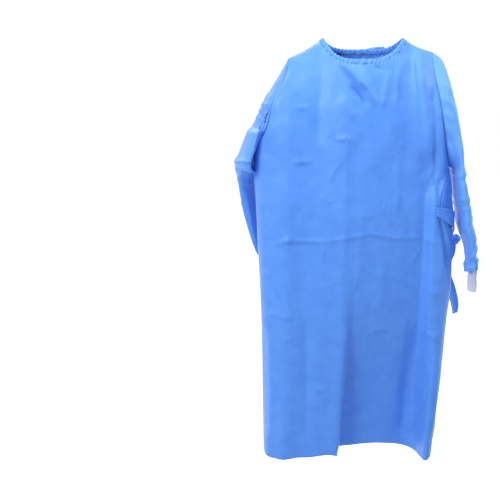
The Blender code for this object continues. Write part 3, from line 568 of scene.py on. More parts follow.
def crease_relief(crease: Crease, x: Array, z: Array) -> Array:
    """Height of one crease over a piece.

    Args:
        crease: The crease.
        x: The piece's x places.
        z: Its z places.

    Returns:
        The relief, outwards.
    """
    line = np.array(crease.line, float)
    lengths = np.linalg.norm(np.diff(line, axis=0), axis=1)
    starts = np.concatenate([[0.0], np.cumsum(lengths)])
    nearest = np.full(x.shape, np.inf)
    signed = np.zeros(x.shape)
    run = np.zeros(x.shape)
    for (ax, az), (bx, bz), length, start in zip(line[:-1], line[1:], lengths, starts):
        dx, dz = (bx - ax) / length, (bz - az) / length
        along = np.clip((x - ax) * dx + (z - az) * dz, 0.0, length)
        off_x, off_z = x - ax - along * dx, z - az - along * dz
        distance = np.hypot(off_x, off_z)
        closer = distance < nearest
        nearest = np.where(closer, distance, nearest)
        signed = np.where(closer, dx * off_z - dz * off_x, signed)
        run = np.where(closer, start + along, run)
    width = np.where(signed > 0, crease.left, crease.right)
    t = np.sqrt((nearest / width) ** 2 + crease.crest ** 2) - crease.crest
    slope = np.clip(1.0 - t, 0.0, 1.0) ** 1.6
    taper = min(0.30 * starts[-1], 0.060)
    ends = smooth(run / taper + 0.05) * smooth((starts[-1] - run) / taper + 0.05)
    return crease.height * slope * ends


def dent_relief(dent: Dent, x: Array, z: Array) -> Array:
    """Height of one dent over a piece.

    Args:
        dent: The dent.
        x: The piece's x places.
        z: Its z places.

    Returns:
        The relief, outwards.
    """
    reach = ((x - dent.x) / dent.wide) ** 2 + ((z - dent.z) / dent.tall) ** 2
    return dent.height * np.exp(-reach)


@dataclass(frozen=True)
class BodyForm:
    """The gown's body: its level sections, its neckline, shoulders and armholes."""

    hem_drop: float = 1.190
    armpit_drop: float = 0.349
    neck_half: float = 0.107
    neck_front: float = 0.060
    neck_back: float = 0.050
    neck_front_drop: float = 0.055
    neck_back_drop: float = 0.030
    neck_flat: tuple = (3.4, 2.4, 3.8)
    neck_round: float = 0.85
    neck_deep: float = 0.90
    casing: float = 0.012
    casing_spread: float = 0.85
    casing_stand: float = 0.25
    casing_fall: tuple = (0.50, 0.45)
    tip_left: tuple = (-0.200, -0.052)
    tip_right: tuple = (0.190, -0.036)
    shoulder_sag: float = 0.003
    opening_x: float = 0.060
    overlap: float = 0.110
    overlap_gap: float = 0.007
    lap_at_neck: float = 0.002
    armhole_front: float = 0.062
    armhole_back: float = 0.070
    armhole_round: float = 0.8
    front_square: float = 3.0
    back_square: float = 2.3
    hem_reach: float = 0.350
    meet: float = 0.0002
    fold_spread: float = 0.02
    fine: int = 900

    @staticmethod
    def fold_push(folds: Sequence[Fold], x: Array, z: float) -> Array:
        """How far the folds push the cloth inwards.

        Args:
            folds: The folds.
            x: Places on the section.
            z: Its height.

        Returns:
            The push at each place.
        """
        push = np.zeros_like(x)
        for fold in folds:
            grown = smooth((fold.z_none - z) / (fold.z_none - fold.z_full))
            lean = fold.lean * (1.0 - grown)
            spread = BodyForm.fold_spread * (1.0 - grown)
            rise = smooth((x - fold.left - lean) / (fold.soft_left + spread) + 0.5)
            fall = smooth((fold.right + lean - x) / (fold.soft_right + spread) + 0.5)
            push = push + fold.depth * grown * rise * fall
        return push

    def section(self, z: float, degrees: Array) -> Array:
        """Points of the body's level section.

        Args:
            z: Its height.
            degrees: Angles round from the front's middle.

        Returns:
            The points.
        """
        angle = np.radians(degrees)
        left, right = column(BODY, "z", "left", z), column(BODY, "z", "right", z)
        sine, cosine = np.sin(angle), np.cos(angle)
        square = np.where(cosine > 0, self.front_square, self.back_square)
        x = (left + right) / 2 + (right - left) / 2 * np.sign(sine) * np.abs(sine) ** (2.0 / square)
        depth = np.where(cosine > 0, column(BODY, "z", "front", z), column(BODY, "z", "back", z))
        y = depth * np.abs(cosine) ** (2.0 / square)
        front, back = self.fold_push(FRONT_FOLDS, x, z), self.fold_push(BACK_FOLDS, x, z)
        y = y + np.where(cosine > 0, front, -back)
        share = smooth((self.hem_reach - self.hem_drop - z) / self.hem_reach)
        return np.stack([x, y, z + share * column(HEM, "x", "rise", x)], axis=1)

    def front_line(self, z: float) -> Array:
        """The front panel's section at one height, from its right seam to its left one."""
        first, last = -column(BODY, "z", "seam_left", z), column(BODY, "z", "seam_right", z)
        return self.section(z, np.linspace(first, last, self.fine))

    def back_line(self, z: float, side: Side) -> Array:
        """A back panel's section, from its free edge to its side seam.

        Args:
            z: Its height.
            side: Which panel. The right one laps over the left one.

        Returns:
            The points.
        """
        edge = column(BODY, "z", "opening", z)
        ring = self.section(z, np.linspace(90.0, 270.0, self.fine))
        if side is Side.RIGHT:
            end = 360.0 - column(BODY, "z", "seam_left", z)
            seam = self.section(z, np.linspace(180.0, end, self.fine))
            over = ring[(ring[:, 0] < edge) & (ring[:, 0] > seam[0, 0])]
            return np.concatenate([over, seam])
        seam = self.section(z, np.linspace(180.0, column(BODY, "z", "seam_right", z), self.fine))
        under = ring[(ring[:, 0] > edge - self.overlap) & (ring[:, 0] < seam[0, 0])][::-1]
        line = np.concatenate([under, seam])
        line[:, 1] -= self.overlap_gap * smooth((edge + 0.12 - line[:, 0]) / 0.10) * (line[:, 1] > 0)
        return line

    def neck_point(self, turn: float, lowered: float) -> Array:
        """A point of the neckline.

        Args:
            turn: Degrees round from its front.
            lowered: How far down its casing.

        Returns:
            The point.
        """
        sine, cosine = math.sin(math.radians(turn)), math.cos(math.radians(turn))
        half = self.neck_half + lowered * self.casing_spread * abs(sine)
        reach = self.neck_front if cosine > 0 else self.neck_back
        drop = self.neck_front_drop if cosine > 0 else self.neck_back_drop
        flat = self.neck_flat[2] if cosine < 0 else self.neck_flat[0] if sine < 0 else self.neck_flat[1]
        x = half * math.copysign(abs(sine) ** self.neck_round, sine)
        y = -math.copysign(reach + lowered * self.casing_stand, cosine) * abs(cosine) ** self.neck_deep
        fall = self.casing_fall[0] + self.casing_fall[1] * abs(cosine)
        return np.array([x, y, -drop * (1.0 - abs(sine) ** flat) - lowered * fall])

    def opening_turn(self) -> float:
        """Degrees round the neckline to the back opening."""
        share = (self.opening_x / self.neck_half) ** (1 / self.neck_round)
        return 180.0 - math.degrees(math.asin(share))

    def tip(self, side: Side) -> tuple:
        """The shoulder tip's x and z. The tables call the side with -x left, as it is seen."""
        return self.tip_left if side is Side.RIGHT else self.tip_right

    def shoulder_line(self, side: Side, lowered: float, count: int) -> Array:
        """The shoulder seam from the neck casing to the tip.

        Args:
            side: The wearer's side.
            lowered: How far down the casing it starts.
            count: Its number of points.

        Returns:
            The points.
        """
        start = self.neck_point(90.0 * side.value, lowered)
        tip = self.tip(side)
        share = np.linspace(0.0, 1.0, count)[:, None]
        sag = np.array([0.0, 0.0, -self.shoulder_sag]) * np.sin(np.pi * share)
        return start + (np.array([tip[0], 0.0, tip[1]]) - start) * share + sag

    def armhole_point(self, side: Side, share: float, face: Face) -> Array:
        """A point of an armhole.

        Args:
            side: The wearer's side.
            share: How far down from the shoulder tip.
            face: Its front or its back edge.

        Returns:
            The point.
        """
        tip = self.tip(side)
        right = side is Side.RIGHT
        x = column(ARMHOLE, "share", "left" if right else "right", share)
        z = tip[1] + (-self.armpit_drop - tip[1]) * share
        reach = self.armhole_front if face is Face.FRONT else self.armhole_back
        seam = column(BODY, "z", "seam_left" if right else "seam_right", -self.armpit_drop)
        end = self.section(-self.armpit_drop, np.array([side.value * float(seam)]))[0, 1]
        curve = reach * max(0.0, math.sin(math.pi * share)) ** self.armhole_round
        return np.array([float(x), face.value * (curve + self.meet * (1 - share)) + end * share, z])


FORM = BodyForm()


# ---- finishes ----


class Wire:
    """A shader socket that takes part in Python expressions."""

    def __init__(self, board: "NodeBoard", socket: Any) -> None:
        """Keep the socket and the board that its nodes go on."""
        self.board = board
        self.socket = socket

    def _math(self, operation: str, *values: Any) -> "Wire":
        """Add a Math node on these values."""
        return self.board.add("ShaderNodeMath", {"operation": operation}, dict(enumerate(values)))

    def __add__(self, other: Any) -> "Wire":
        """Sum."""
        return self._math("ADD", self, other)

    def __radd__(self, other: Any) -> "Wire":
        """Sum, reflected."""
        return self._math("ADD", other, self)

    def __sub__(self, other: Any) -> "Wire":
        """Difference."""
        return self._math("SUBTRACT", self, other)

    def __rsub__(self, other: Any) -> "Wire":
        """Difference, reflected."""
        return self._math("SUBTRACT", other, self)

    def __mul__(self, other: Any) -> "Wire":
        """Product."""
        return self._math("MULTIPLY", self, other)

    def __rmul__(self, other: Any) -> "Wire":
        """Product, reflected."""
        return self._math("MULTIPLY", other, self)

    def __pow__(self, other: Any) -> "Wire":
        """Power."""
        return self._math("POWER", self, other)

    def sine(self) -> "Wire":
        """Sine."""
        return self._math("SINE", self)

    def size(self) -> "Wire":
        """Absolute value."""
        return self._math("ABSOLUTE", self)

    def most(self, other: Any) -> "Wire":
        """The larger of two."""
        return self._math("MAXIMUM", self, other)

    def step(self, low: float, high: float) -> "Wire":
        """Ease from 0 at low to 1 at high."""
        settings = {"interpolation_type": "SMOOTHSTEP"}
        return self.board.add("ShaderNodeMapRange", settings, {"Value": self, "From Min": low, "From Max": high})


class NodeBoard:
    """The nodes of a material, or of the room's own light."""

    def __init__(self, owner: Any) -> None:
        """Start with the owner's first shader and nothing else.

        Args:
            owner: A new material or world.
        """
        owner.use_nodes = True
        self.owner = owner
        self.tree = owner.node_tree

    def add(self, kind: str, settings: dict, inputs: dict, output: Any = 0) -> Wire:
        """Add a node.

        Args:
            kind: Its type.
            settings: Its own settings, set first.
            inputs: Its sockets' values or links, by name or number.
            output: Which of its outputs to give back.

        Returns:
            That output.
        """
        node = self.tree.nodes.new(kind)
        for name, value in settings.items():
            setattr(node, name, value)
        for name, value in inputs.items():
            self.feed(node.inputs[name], value)
        return Wire(self, node.outputs[output])

    def feed(self, socket: Any, value: Any) -> None:
        """Give a socket its link or its number."""
        if isinstance(value, Wire):
            self.tree.links.new(value.socket, socket)
        else:
            socket.default_value = value

    def mix(self, share: Any, first: Any, second: Any) -> Wire:
        """Mix two colours.

        Args:
            share: How much of the second.
            first: A colour.
            second: Another.

        Returns:
            The mixed colour.
        """
        return self.add("ShaderNodeMix", {"data_type": "RGBA"}, {0: share, 6: first, 7: second}, 2)

    def noise(self, where: Any, scale: float, detail: float = 2.0, rough: float = 0.5) -> Wire:
        """Noise from 0 to 1.

        Args:
            where: Its coordinates.
            scale: Its cells in a metre.
            detail: Its octaves.
            rough: How much they count.

        Returns:
            Its height.
        """
        values = {"Vector": where, "Scale": scale, "Detail": detail, "Roughness": rough}
        return self.add("ShaderNodeTexNoise", {}, values, "Fac")

    def attribute(self, name: str) -> Wire:
        """A number stored on the piece's points."""
        return self.add("ShaderNodeAttribute", {"attribute_name": name}, {}, "Fac")

    def bump(self, height: Wire, distance: float, strength: float = 1.0, normal: Any = None) -> Wire:
        """Tilt the surface by a height.

        Args:
            height: The height, from 0 to 1.
            distance: What a height of 1 stands for, in metres.
            strength: How much of it shows.
            normal: A normal to start from.

        Returns:
            The normal.
        """
        inputs = {"Height": height, "Distance": distance, "Strength": strength}
        if normal is not None:
            inputs["Normal"] = normal
        return self.add("ShaderNodeBump", {}, inputs)

    def finish(self, colour: Any, roughness: Any, normal: Wire, constants: dict) -> bpy.types.Material:
        """Feed the shader.

        Args:
            colour: The base colour.
            roughness: The roughness.
            normal: The normal.
            constants: The other sockets' numbers and colours, by name.

        Returns:
            The material.
        """
        shader = self.tree.nodes["Principled BSDF"]
        self.feed(shader.inputs["Base Color"], colour)
        self.feed(shader.inputs["Roughness"], roughness)
        self.feed(shader.inputs["Normal"], normal)
        for name, value in constants.items():
            self.feed(shader.inputs[name], value)
        return self.owner


@dataclass(frozen=True)
class Nonwoven:
    """Thin spunbonded cloth: mottled fibres, a fine lattice of bonds, a soft sheen."""

    name: str
    colour: tuple = (0.115, 0.335, 0.880, 1.0)
    thin: tuple = (0.170, 0.410, 0.940, 1.0)
    thick: tuple = (0.070, 0.250, 0.760, 1.0)
    # The colour of the cloth where painted light is mixed in.
    lit: tuple = (0.210, 0.520, 0.960, 1.0)
    roughness: float = 0.47
    bond: float = 0.0016
    hem: float = 0.014
    stitch: float = 0.0032
    gather_pitch: float = 0.0042
    gather_reach: float = 0.026

    def make(self) -> bpy.types.Material:
        """Build the material, which reads the cloth map and the runs stored on a piece's points."""
        board = NodeBoard(bpy.data.materials.new(self.name))
        spot = board.add("ShaderNodeTexCoord", {}, {}, "Object")
        flat = board.add("ShaderNodeUVMap", {"uv_map": "cloth"}, {})
        split = board.add("ShaderNodeSeparateXYZ", {}, {0: flat})
        u, v = split, Wire(board, split.socket.node.outputs[1])
        fibres = board.noise(spot, 1500.0, 3.0, 0.6)
        clouds = board.noise(spot, 34.0, 4.0, 0.55)
        webs = board.noise(spot, 260.0, 3.0, 0.6)
        rumple = board.noise(spot, 62.0, 5.0, 0.62)
        lattice = ((u + v) * (math.pi / self.bond)).sine() * ((u - v) * (math.pi / self.bond)).sine()
        bonds = lattice.size().step(0.45, 0.90)
        hem_run, sewn_run = board.attribute("hem_run"), board.attribute("sewn_run")
        neck_run, neck_round = board.attribute("neck_run"), board.attribute("neck_round")
        doubled = 1.0 - hem_run.step(self.hem - 0.0004, self.hem + 0.0004)
        # Painted shade: the cloth is darkened within about two millimetres of a sewn edge, for shade in the seam's
        # groove.
        seam = 1.0 - sewn_run.step(0.0004, 0.0022)
        hem_line = (hem_run - (self.hem - 0.0022)).size().step(0.0003, 0.0008)
        seam_line = (sewn_run - 0.0042).size().step(0.0003, 0.0008)
        dashes = ((u + v) * (2 * math.pi / self.stitch)).sine().step(-0.5, 0.1)
        stitched = (1.0 - hem_line * seam_line) * dashes
        pleats = ((neck_round * (2 * math.pi / self.gather_pitch) + clouds * 5.0).sine() * 0.5 + 0.5)
        pleats = pleats * (1.0 - neck_run.step(0.002, self.gather_reach)) * webs.step(0.30, 0.62)
        mottle = clouds.step(0.28, 0.72) * 0.45 + webs.step(0.30, 0.70) * 0.30 + fibres.step(0.30, 0.75) * 0.25
        colour = board.mix(mottle, self.thick, self.thin)
        colour = board.mix(0.55, colour, self.colour)
        colour = board.mix(bonds * 0.22, colour, self.thick)
        colour = board.mix(doubled * 0.35, colour, self.colour)
        # Painted light: a lighter colour mixed in by the share a piece stores, for light glowing through thin cloth.
        colour = board.mix(board.attribute("sheer"), colour, self.lit)
        # Painted shade along the seams; the stitches' darker dashes are their own colour.
        colour = board.mix((seam * 0.45).most(stitched * 0.40), colour, self.thick)
        height = rumple * 0.55 + webs * 0.10 + pleats * 0.55 + doubled * 0.25 - seam * 0.3 - stitched * 0.16
        normal = board.bump(height, 0.0011, 0.85)
        normal = board.bump(fibres * 0.5 - bonds * 0.6, 0.00010, 0.55, normal)
        rough = self.roughness + (fibres - 0.5) * 0.10 - bonds * 0.08
        return board.finish(colour, rough, normal, {
            "Sheen Weight": 0.10, "Sheen Roughness": 0.45, "Specular IOR Level": 0.36,
        })


@dataclass(frozen=True)
class Knit:
    """White ribbed knit of a cuff."""

    name: str = "knit_white"
    colour: tuple = (0.800, 0.815, 0.870, 1.0)
    shade: tuple = (0.560, 0.600, 0.740, 1.0)
    course: float = 0.0011
    rib: float = 0.00065

    def make(self) -> bpy.types.Material:
        """Build the material, which reads the knit's own map: ribs across and courses along."""
        board = NodeBoard(bpy.data.materials.new(self.name))
        spot = board.add("ShaderNodeTexCoord", {}, {}, "Object")
        flat = board.add("ShaderNodeUVMap", {"uv_map": "cloth"}, {})
        split = board.add("ShaderNodeSeparateXYZ", {}, {0: flat})
        u, v = split, Wire(board, split.socket.node.outputs[1])
        fuzz = board.noise(spot, 1600.0, 3.0, 0.6)
        slack = board.noise(spot, 120.0, 3.0, 0.5)
        legs = (u * (math.pi / self.rib)).sine().size()
        loops = ((v + legs * self.course * 0.5) * (2 * math.pi / self.course)).sine() * 0.5 + 0.5
        colour = board.mix(loops * 0.25 + slack * 0.35 + fuzz * 0.15, self.colour, self.shade)
        colour = board.mix(0.45, colour, self.colour)
        normal = board.bump(loops * 0.5 + legs * 0.5 + fuzz * 0.3, 0.00035, 0.8)
        return board.finish(colour, 0.86 + (fuzz - 0.5) * 0.12, normal, {
            "Sheen Weight": 0.35, "Sheen Roughness": 0.6, "Specular IOR Level": 0.25,
        })


@dataclass(frozen=True)
class Backdrop:
    """The pale floor's paint, which turns to plain white behind the gown."""

    name: str = "pale_floor"
    colour: tuple = (0.62, 0.63, 0.66, 1.0)
    glow: tuple = (0.80, 0.80, 0.80, 1.0)
    reach: tuple = (0.20, 0.60)

    def make(self) -> bpy.types.Material:
        """Build the material."""
        board = NodeBoard(bpy.data.materials.new(self.name))
        spot = board.add("ShaderNodeTexCoord", {}, {}, "Object")
        grain = board.noise(spot, 3.0, 3.0)
        normal = board.bump(board.noise(spot, 80.0, 2.0), 0.0002, 0.2)
        darker = tuple(part * 0.985 for part in self.colour[:3]) + (1.0,)
        away = board.add("ShaderNodeSeparateXYZ", {}, {0: spot}, 1)
        glow = board.mix(away.step(*self.reach), (0.0, 0.0, 0.0, 1.0), self.glow)
        return board.finish(board.mix(grain, self.colour, darker), 0.85, normal, {
            "Emission Color": glow, "Emission Strength": 1.0,
        })


# ---- cloth pieces ----


@dataclass
class ClothGrid:
    """A surface of rows of points, with what its finish reads: its map and its runs."""

    points: Array
    closed: bool = False
    outwards: int = 1
    runs: dict = field(default_factory=dict)
    thickness: float = 0.0006

    def normals(self) -> Array:
        """Directions outwards at every point."""
        if self.closed:
            across = np.roll(self.points, -1, axis=1) - np.roll(self.points, 1, axis=1)
        else:
            across = np.gradient(self.points, axis=1)
        along = np.gradient(self.points, axis=0)
        normal = np.cross(across, along) * self.outwards
        return normal / np.maximum(np.linalg.norm(normal, axis=2, keepdims=True), 1e-9)

    def flat(self) -> tuple[Array, Array]:
        """Distances across and along the cloth, from its first column and first row."""
        steps = np.linalg.norm(np.diff(self.points, axis=1), axis=2)
        across = np.concatenate([np.zeros((len(self.points), 1)), np.cumsum(steps, axis=1)], axis=1)
        rises = np.linalg.norm(np.diff(self.points, axis=0), axis=2)
        along = np.concatenate([np.zeros((1, self.points.shape[1])), np.cumsum(rises, axis=0)], axis=0)
        return across, along

    def push(self, relief: Array) -> None:
        """Move every point outwards by its relief."""
        self.points = self.points + self.normals() * relief[:, :, None]

    def build(self, name: str, material: bpy.types.Material) -> bpy.types.Object:
        """Make the piece: a mesh with its map and runs, given its thickness.

        Args:
            name: The piece's name.
            material: Its finish.

        Returns:
            The piece.
        """
        rows, columns = self.points.shape[:2]
        index = np.arange(rows * columns).reshape(rows, columns)
        low, high = index[:-1], index[1:]
        if self.closed:
            corners = (low, np.roll(low, -1, axis=1), np.roll(high, -1, axis=1), high)
        else:
            corners = (low[:, :-1], low[:, 1:], high[:, 1:], high[:, :-1])
        faces = np.stack([corner.ravel() for corner in corners], axis=1)
        if self.outwards < 0:
            faces = faces[:, ::-1]
        mesh = bpy.data.meshes.new(name)
        mesh.from_pydata(self.points.reshape(-1, 3).tolist(), [], faces.tolist())
        across, along = self.flat()
        area = sum(face.area for face in mesh.polygons)
        LOG.info("%s: %.3f to %.3f m across, %.3f to %.3f m along, %.4f square metres", name,
                 across[:, -1].min(), across[:, -1].max(), along[-1].min(), along[-1].max(), area)
        across, along = across.ravel(), along.ravel()
        layer = mesh.uv_layers.new(name="cloth")
        corner_points = faces.ravel()
        u, v = across[corner_points], along[corner_points]
        if self.closed:
            lap = across.reshape(rows, columns)[:, -1].max() * columns / max(columns - 1, 1)
            wraps = (corner_points % columns == 0).reshape(-1, 4) & (
                (faces % columns == columns - 1).any(axis=1, keepdims=True))
            u = np.where(wraps.ravel(), lap, u)
        layer.data.foreach_set("uv", np.stack([u, v], axis=1).ravel())
        for run_name, run in self.runs.items():
            stored = mesh.attributes.new(run_name, "FLOAT", "POINT")
            stored.data.foreach_set("value", np.ascontiguousarray(run, np.float32).ravel())
        mesh.materials.append(material)
        mesh.shade_smooth()
        piece = bpy.data.objects.new(name, mesh)
        bpy.context.scene.collection.objects.link(piece)
        if self.thickness > 0:
            thicken(piece, self.thickness)
        return piece


def thicken(piece: bpy.types.Object, thickness: float) -> None:
    """Give a sheet its thickness on both sides.

    Args:
        piece: The sheet.
        thickness: How thick it becomes.
    """
    for other in list(bpy.context.selected_objects):
        other.select_set(False)
    bpy.context.view_layer.objects.active = piece
    piece.select_set(True)
    wall = piece.modifiers.new("wall", "SOLIDIFY")
    wall.thickness = thickness
    wall.offset = 0.0
    bpy.ops.object.modifier_apply(modifier=wall.name)
    piece.select_set(False)


def dress(piece: bpy.types.Object, slot: str, *nodes: str) -> bpy.types.Object:
    """Let a piece ride on the gown and stand for its solids.

    Args:
        piece: The piece.
        slot: A material slot's name. It is not used.
        nodes: The solids that it stands for.

    Returns:
        The piece.
    """
    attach(piece, BODY_NAME)
    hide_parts(*nodes)
    LOG.info("%s: %d faces, for %s", piece.name, len(piece.data.polygons), ", ".join(nodes))
    return piece


@dataclass
class HandOfCloth:
    """What makes a piece of cloth uneven: its creases, dents, slow waves and small crumples."""

    creases: Sequence[Crease]
    dents: Sequence[Dent]
    seed: int
    wave: float = 0.0017
    wave_across: float = 0.050
    wave_along: float = 0.300
    crumple: float = 0.00045
    crumple_size: float = 0.028
    scatter: int = 40
    scatter_height: float = 0.0026

    def small_creases(self, x: Array, z: Array) -> list[Crease]:
        """Short creases strewn over a piece, from its seed.

        Args:
            x: The piece's x places.
            z: Its z places.

        Returns:
            The creases.
        """
        dice = np.random.default_rng(self.seed + 7)
        found = []
        for _ in range(self.scatter):
            cx, cz = dice.uniform(x.min(), x.max()), dice.uniform(z.min(), z.max())
            length = dice.uniform(0.018, 0.070)
            lean = dice.choice([0.0, math.pi / 2]) + dice.normal(0.0, 0.28)
            dx, dz = math.cos(lean) * length / 2, math.sin(lean) * length / 2
            bend = dice.uniform(-0.15, 0.15)
            line = ((cx - dx, cz - dz), (cx - bend * dz, cz + bend * dx), (cx + dx, cz + dz))
            height = self.scatter_height * dice.uniform(0.35, 1.0) * dice.choice([1.0, -1.0])
            found.append(Crease(line, dice.uniform(.006, .016), dice.uniform(.005, .012), height, 0.08))
        return found

    def relief(self, grid: ClothGrid, damp: Array) -> Array:
        """The whole unevenness of a piece.

        Args:
            grid: The piece's surface.
            damp: How much of it is let through at every point.

        Returns:
            The relief, outwards.
        """
        x, z = grid.points[:, :, 0], grid.points[:, :, 2]
        looks = grid.normals()[:, :, 1]
        across, along = grid.flat()
        rough = Unevenness(self.seed)
        total = self.wave * rough.at(across / self.wave_across, along / self.wave_along)
        total = total + self.wave * 0.5 * rough.at(across / 0.023 + 31.7, along / 0.150 + 5.3)
        small = rough.at(across / self.crumple_size + 9.1, along / self.crumple_size + 17.9)
        finer = rough.at(across / 0.013 + 3.3, along / 0.013 + 41.9)
        total = total + self.crumple * (small + 0.5 * finer)
        for crease in list(self.creases) + self.small_creases(x, z):
            shown = 1.0 if crease.face is Face.ALL else smooth(looks * crease.face.value * 2.0 + 0.5)
            total = total + crease_relief(crease, x, z) * shown
        for dent in self.dents:
            shown = 1.0 if dent.face is Face.ALL else smooth(looks * dent.face.value * 2.0 + 0.5)
            total = total + dent_relief(dent, x, z) * shown
        return total * damp


@dataclass
class Panel:
    """A body panel, hem to neck and shoulders, cut in one."""

    name: str
    node: str
    finish: bpy.types.Material
    hand: HandOfCloth
    cut: tuple
    cut_area: float
    lower_rows: int = 156
    upper_rows: int = 60
    rise_power: float = 0.55
    pull_power: int = 4
    blur: float = 0.10
    pleat: float = 0.0100
    pleat_height: float = 0.0027
    join: float = 14.0
    join_edge: float = 0.10
    tuck: float = 0.0045
    ease: float = 0.018
    neck_tuck: float = 0.003

    def levels(self) -> Array:
        """Heights of the level rows, hem to armpit."""
        return np.linspace(-FORM.hem_drop, -FORM.armpit_drop, self.lower_rows + 1)

    def upper(self, bottom: Array, top: Array, sides: Sequence[tuple], face: Face) -> list[Array]:
        """Rows from the armpit line up to the shoulder line, kept to the armholes.

        Args:
            bottom: The row at the armpits.
            top: The row at the shoulders and neck.
            sides: The side and column of each edge that follows an armhole.
            face: Whether this is the front or the back.

        Returns:
            The rows.
        """
        rows = []
        share = np.linspace(0.0, 1.0, len(bottom))
        for step in range(1, self.upper_rows + 1):
            up = step / self.upper_rows
            over = blurred(top, self.blur * (1.0 - up) ** 0.6)
            row = bottom + (over - bottom) * up
            row[:, 1] = bottom[:, 1] + (over[:, 1] - bottom[:, 1]) * (1.0 - (1.0 - up) ** self.rise_power)
            for side, index in sides:
                nearness = share if index else 1.0 - share
                wanted = FORM.armhole_point(side, 1.0 - up, face)
                row = row + nearness[:, None] ** self.pull_power * (wanted - row[index])
            rows.append(row)
        return rows

    def joined(self, rows: Array) -> Array:
        """Smooth the depth of the rows where the level ones meet the upper ones.

        Args:
            rows: All the rows, hem first.

        Returns:
            The rows, with the same edges.
        """
        place = np.arange(len(rows))
        near = np.exp(-((place - self.lower_rows) / self.join) ** 2)[:, None]
        share = np.linspace(0.0, 1.0, rows.shape[1])
        inside = smooth(np.minimum(share, 1.0 - share) / self.join_edge)[None]
        softer = blurred(rows[:, :, 1], self.join / 2 / len(rows))
        rows[:, :, 1] += (softer - rows[:, :, 1]) * near * inside
        return rows

    def runs(self, grid: ClothGrid, sewn: Sequence[Edge]) -> dict:
        """What the finish reads: distances to the hem, to sewn edges, and to the neck.

        Args:
            grid: The surface.
            sewn: How its first and last columns end.

        Returns:
            The runs by name.
        """
        across, along = grid.flat()
        width = across[:, -1:]
        far = np.full_like(across, 1.0)
        sewn_run = far
        if sewn[0] is Edge.SEWN:
            sewn_run = np.minimum(sewn_run, across)
        if sewn[1] is Edge.SEWN:
            sewn_run = np.minimum(sewn_run, width - across)
        top = along[-1:] - along
        turn = np.arctan2(grid.points[:, :, 0], -grid.points[:, :, 1])
        near_neck = np.abs(grid.points[-1:, :, 0]) < FORM.neck_half + 0.008
        free = np.full_like(across, 1.0)
        for edge, distance in zip(sewn, (across, width - across)):
            if edge is Edge.FREE:
                free = np.minimum(free, distance)
        return {
            "hem_run": np.minimum(along, free),
            "sewn_run": np.where(near_neck, sewn_run, np.minimum(sewn_run, top)),
            "neck_run": np.where(near_neck, top, 1.0),
            "neck_round": turn * 0.085,
        }

    def gathers(self, grid: ClothGrid, runs: dict) -> Array:
        """Pleats that run down from the gathered neck.

        Args:
            grid: The surface.
            runs: Its runs.

        Returns:
            The relief.
        """
        turn = runs["neck_round"]
        rough = Unevenness(self.hand.seed + 3)
        reach = 0.016 + 0.012 * rough.at(turn / 0.011, np.zeros_like(turn))
        fade = 1.0 - smooth(runs["neck_run"] / np.maximum(reach, 0.005) / 1.6)
        ripple = np.sin(turn * 2 * math.pi / self.pleat + 2.0 * rough.at(turn / 0.03, np.full_like(turn, 7.5)))
        return self.pleat_height * ripple * fade

    def tucked(self, points: Array, normals: Array, sewn: Sequence[Edge]) -> Array:
        """Add the seam allowances, turned in along the sewn edges.

        Args:
            points: The rows.
            normals: Directions outwards.
            sewn: How the first and last columns end.

        Returns:
            The rows with one more column at each sewn side, and one more row at the top.
        """
        rise = points[-1] - points[-2]
        rise /= np.maximum(np.linalg.norm(rise, axis=1, keepdims=True), 1e-9)
        shoulder = smooth((np.abs(points[-1, :, 0]) - FORM.neck_half - 0.006) / 0.006)[:, None]
        last = points[-1] - normals[-1] * self.tuck * shoulder + rise * self.neck_tuck * (1 - shoulder)
        points = np.concatenate([points, last[None]], axis=0)
        normals = np.concatenate([normals, normals[-1:]], axis=0)
        if sewn[0] is Edge.SEWN:
            points = np.concatenate([points[:, :1] - normals[:, :1] * self.tuck, points], axis=1)
            normals = np.concatenate([normals[:, :1], normals], axis=1)
        if sewn[1] is Edge.SEWN:
            points = np.concatenate([points, points[:, -1:] - normals[:, -1:] * self.tuck], axis=1)
        return points

    def sew(self, rows: Sequence[Array], outwards: int, sewn: Sequence[Edge]) -> bpy.types.Object:
        """Crease the panel, turn its seams in and make it.

        Args:
            rows: Its plain rows, hem first.
            outwards: 1 where its rows turn outwards, else -1.
            sewn: How its first and last columns end.

        Returns:
            The piece.
        """
        grid = ClothGrid(self.joined(np.array(rows)), False, outwards)
        runs = self.runs(grid, sewn)
        damp = smooth(runs["sewn_run"] / self.ease) * smooth(runs["neck_run"] / self.ease + 0.1)
        relief = self.hand.relief(grid, damp) + self.gathers(grid, runs)
        grid.push(relief)
        groove = 0.0007 * (1.0 - smooth(runs["sewn_run"] / 0.0035))
        grid.push(-groove)
        normals = grid.normals()
        grid.points = self.tucked(grid.points, normals, sewn)
        grown = {}
        for name, run in runs.items():
            run = np.concatenate([run, run[-1:]], axis=0)
            if sewn[0] is Edge.SEWN:
                run = np.concatenate([run[:, :1], run], axis=1)
            if sewn[1] is Edge.SEWN:
                run = np.concatenate([run, run[:, -1:]], axis=1)
            grown[name] = run
        grid.runs = grown
        piece = dress(grid.build(self.name, self.finish), "nonwoven_blue", self.node)
        return piece


@dataclass
class FrontPanel(Panel):
    """The front, from side seam to side seam."""

    columns: int = 160
    shoulder_columns: int = 35

    def make(self) -> bpy.types.Object:
        """Build the front panel."""
        meet = FORM.meet
        rows = [spaced(FORM.front_line(z), self.columns, meet, meet) for z in self.levels()]
        turns = np.linspace(-90.0, 90.0, self.columns - 2 * self.shoulder_columns + 1)
        neck = np.array([FORM.neck_point(turn, FORM.casing) for turn in turns])
        first = FORM.shoulder_line(Side.RIGHT, FORM.casing, self.shoulder_columns + 1)[::-1]
        last = FORM.shoulder_line(Side.LEFT, FORM.casing, self.shoulder_columns + 1)
        top = np.concatenate([first[:-1], neck, last[1:]])
        top[:, 1] -= meet
        rows += self.upper(rows[-1], top, ((Side.RIGHT, 0), (Side.LEFT, -1)), Face.FRONT)
        return self.sew(rows, 1, (Edge.SEWN, Edge.SEWN))


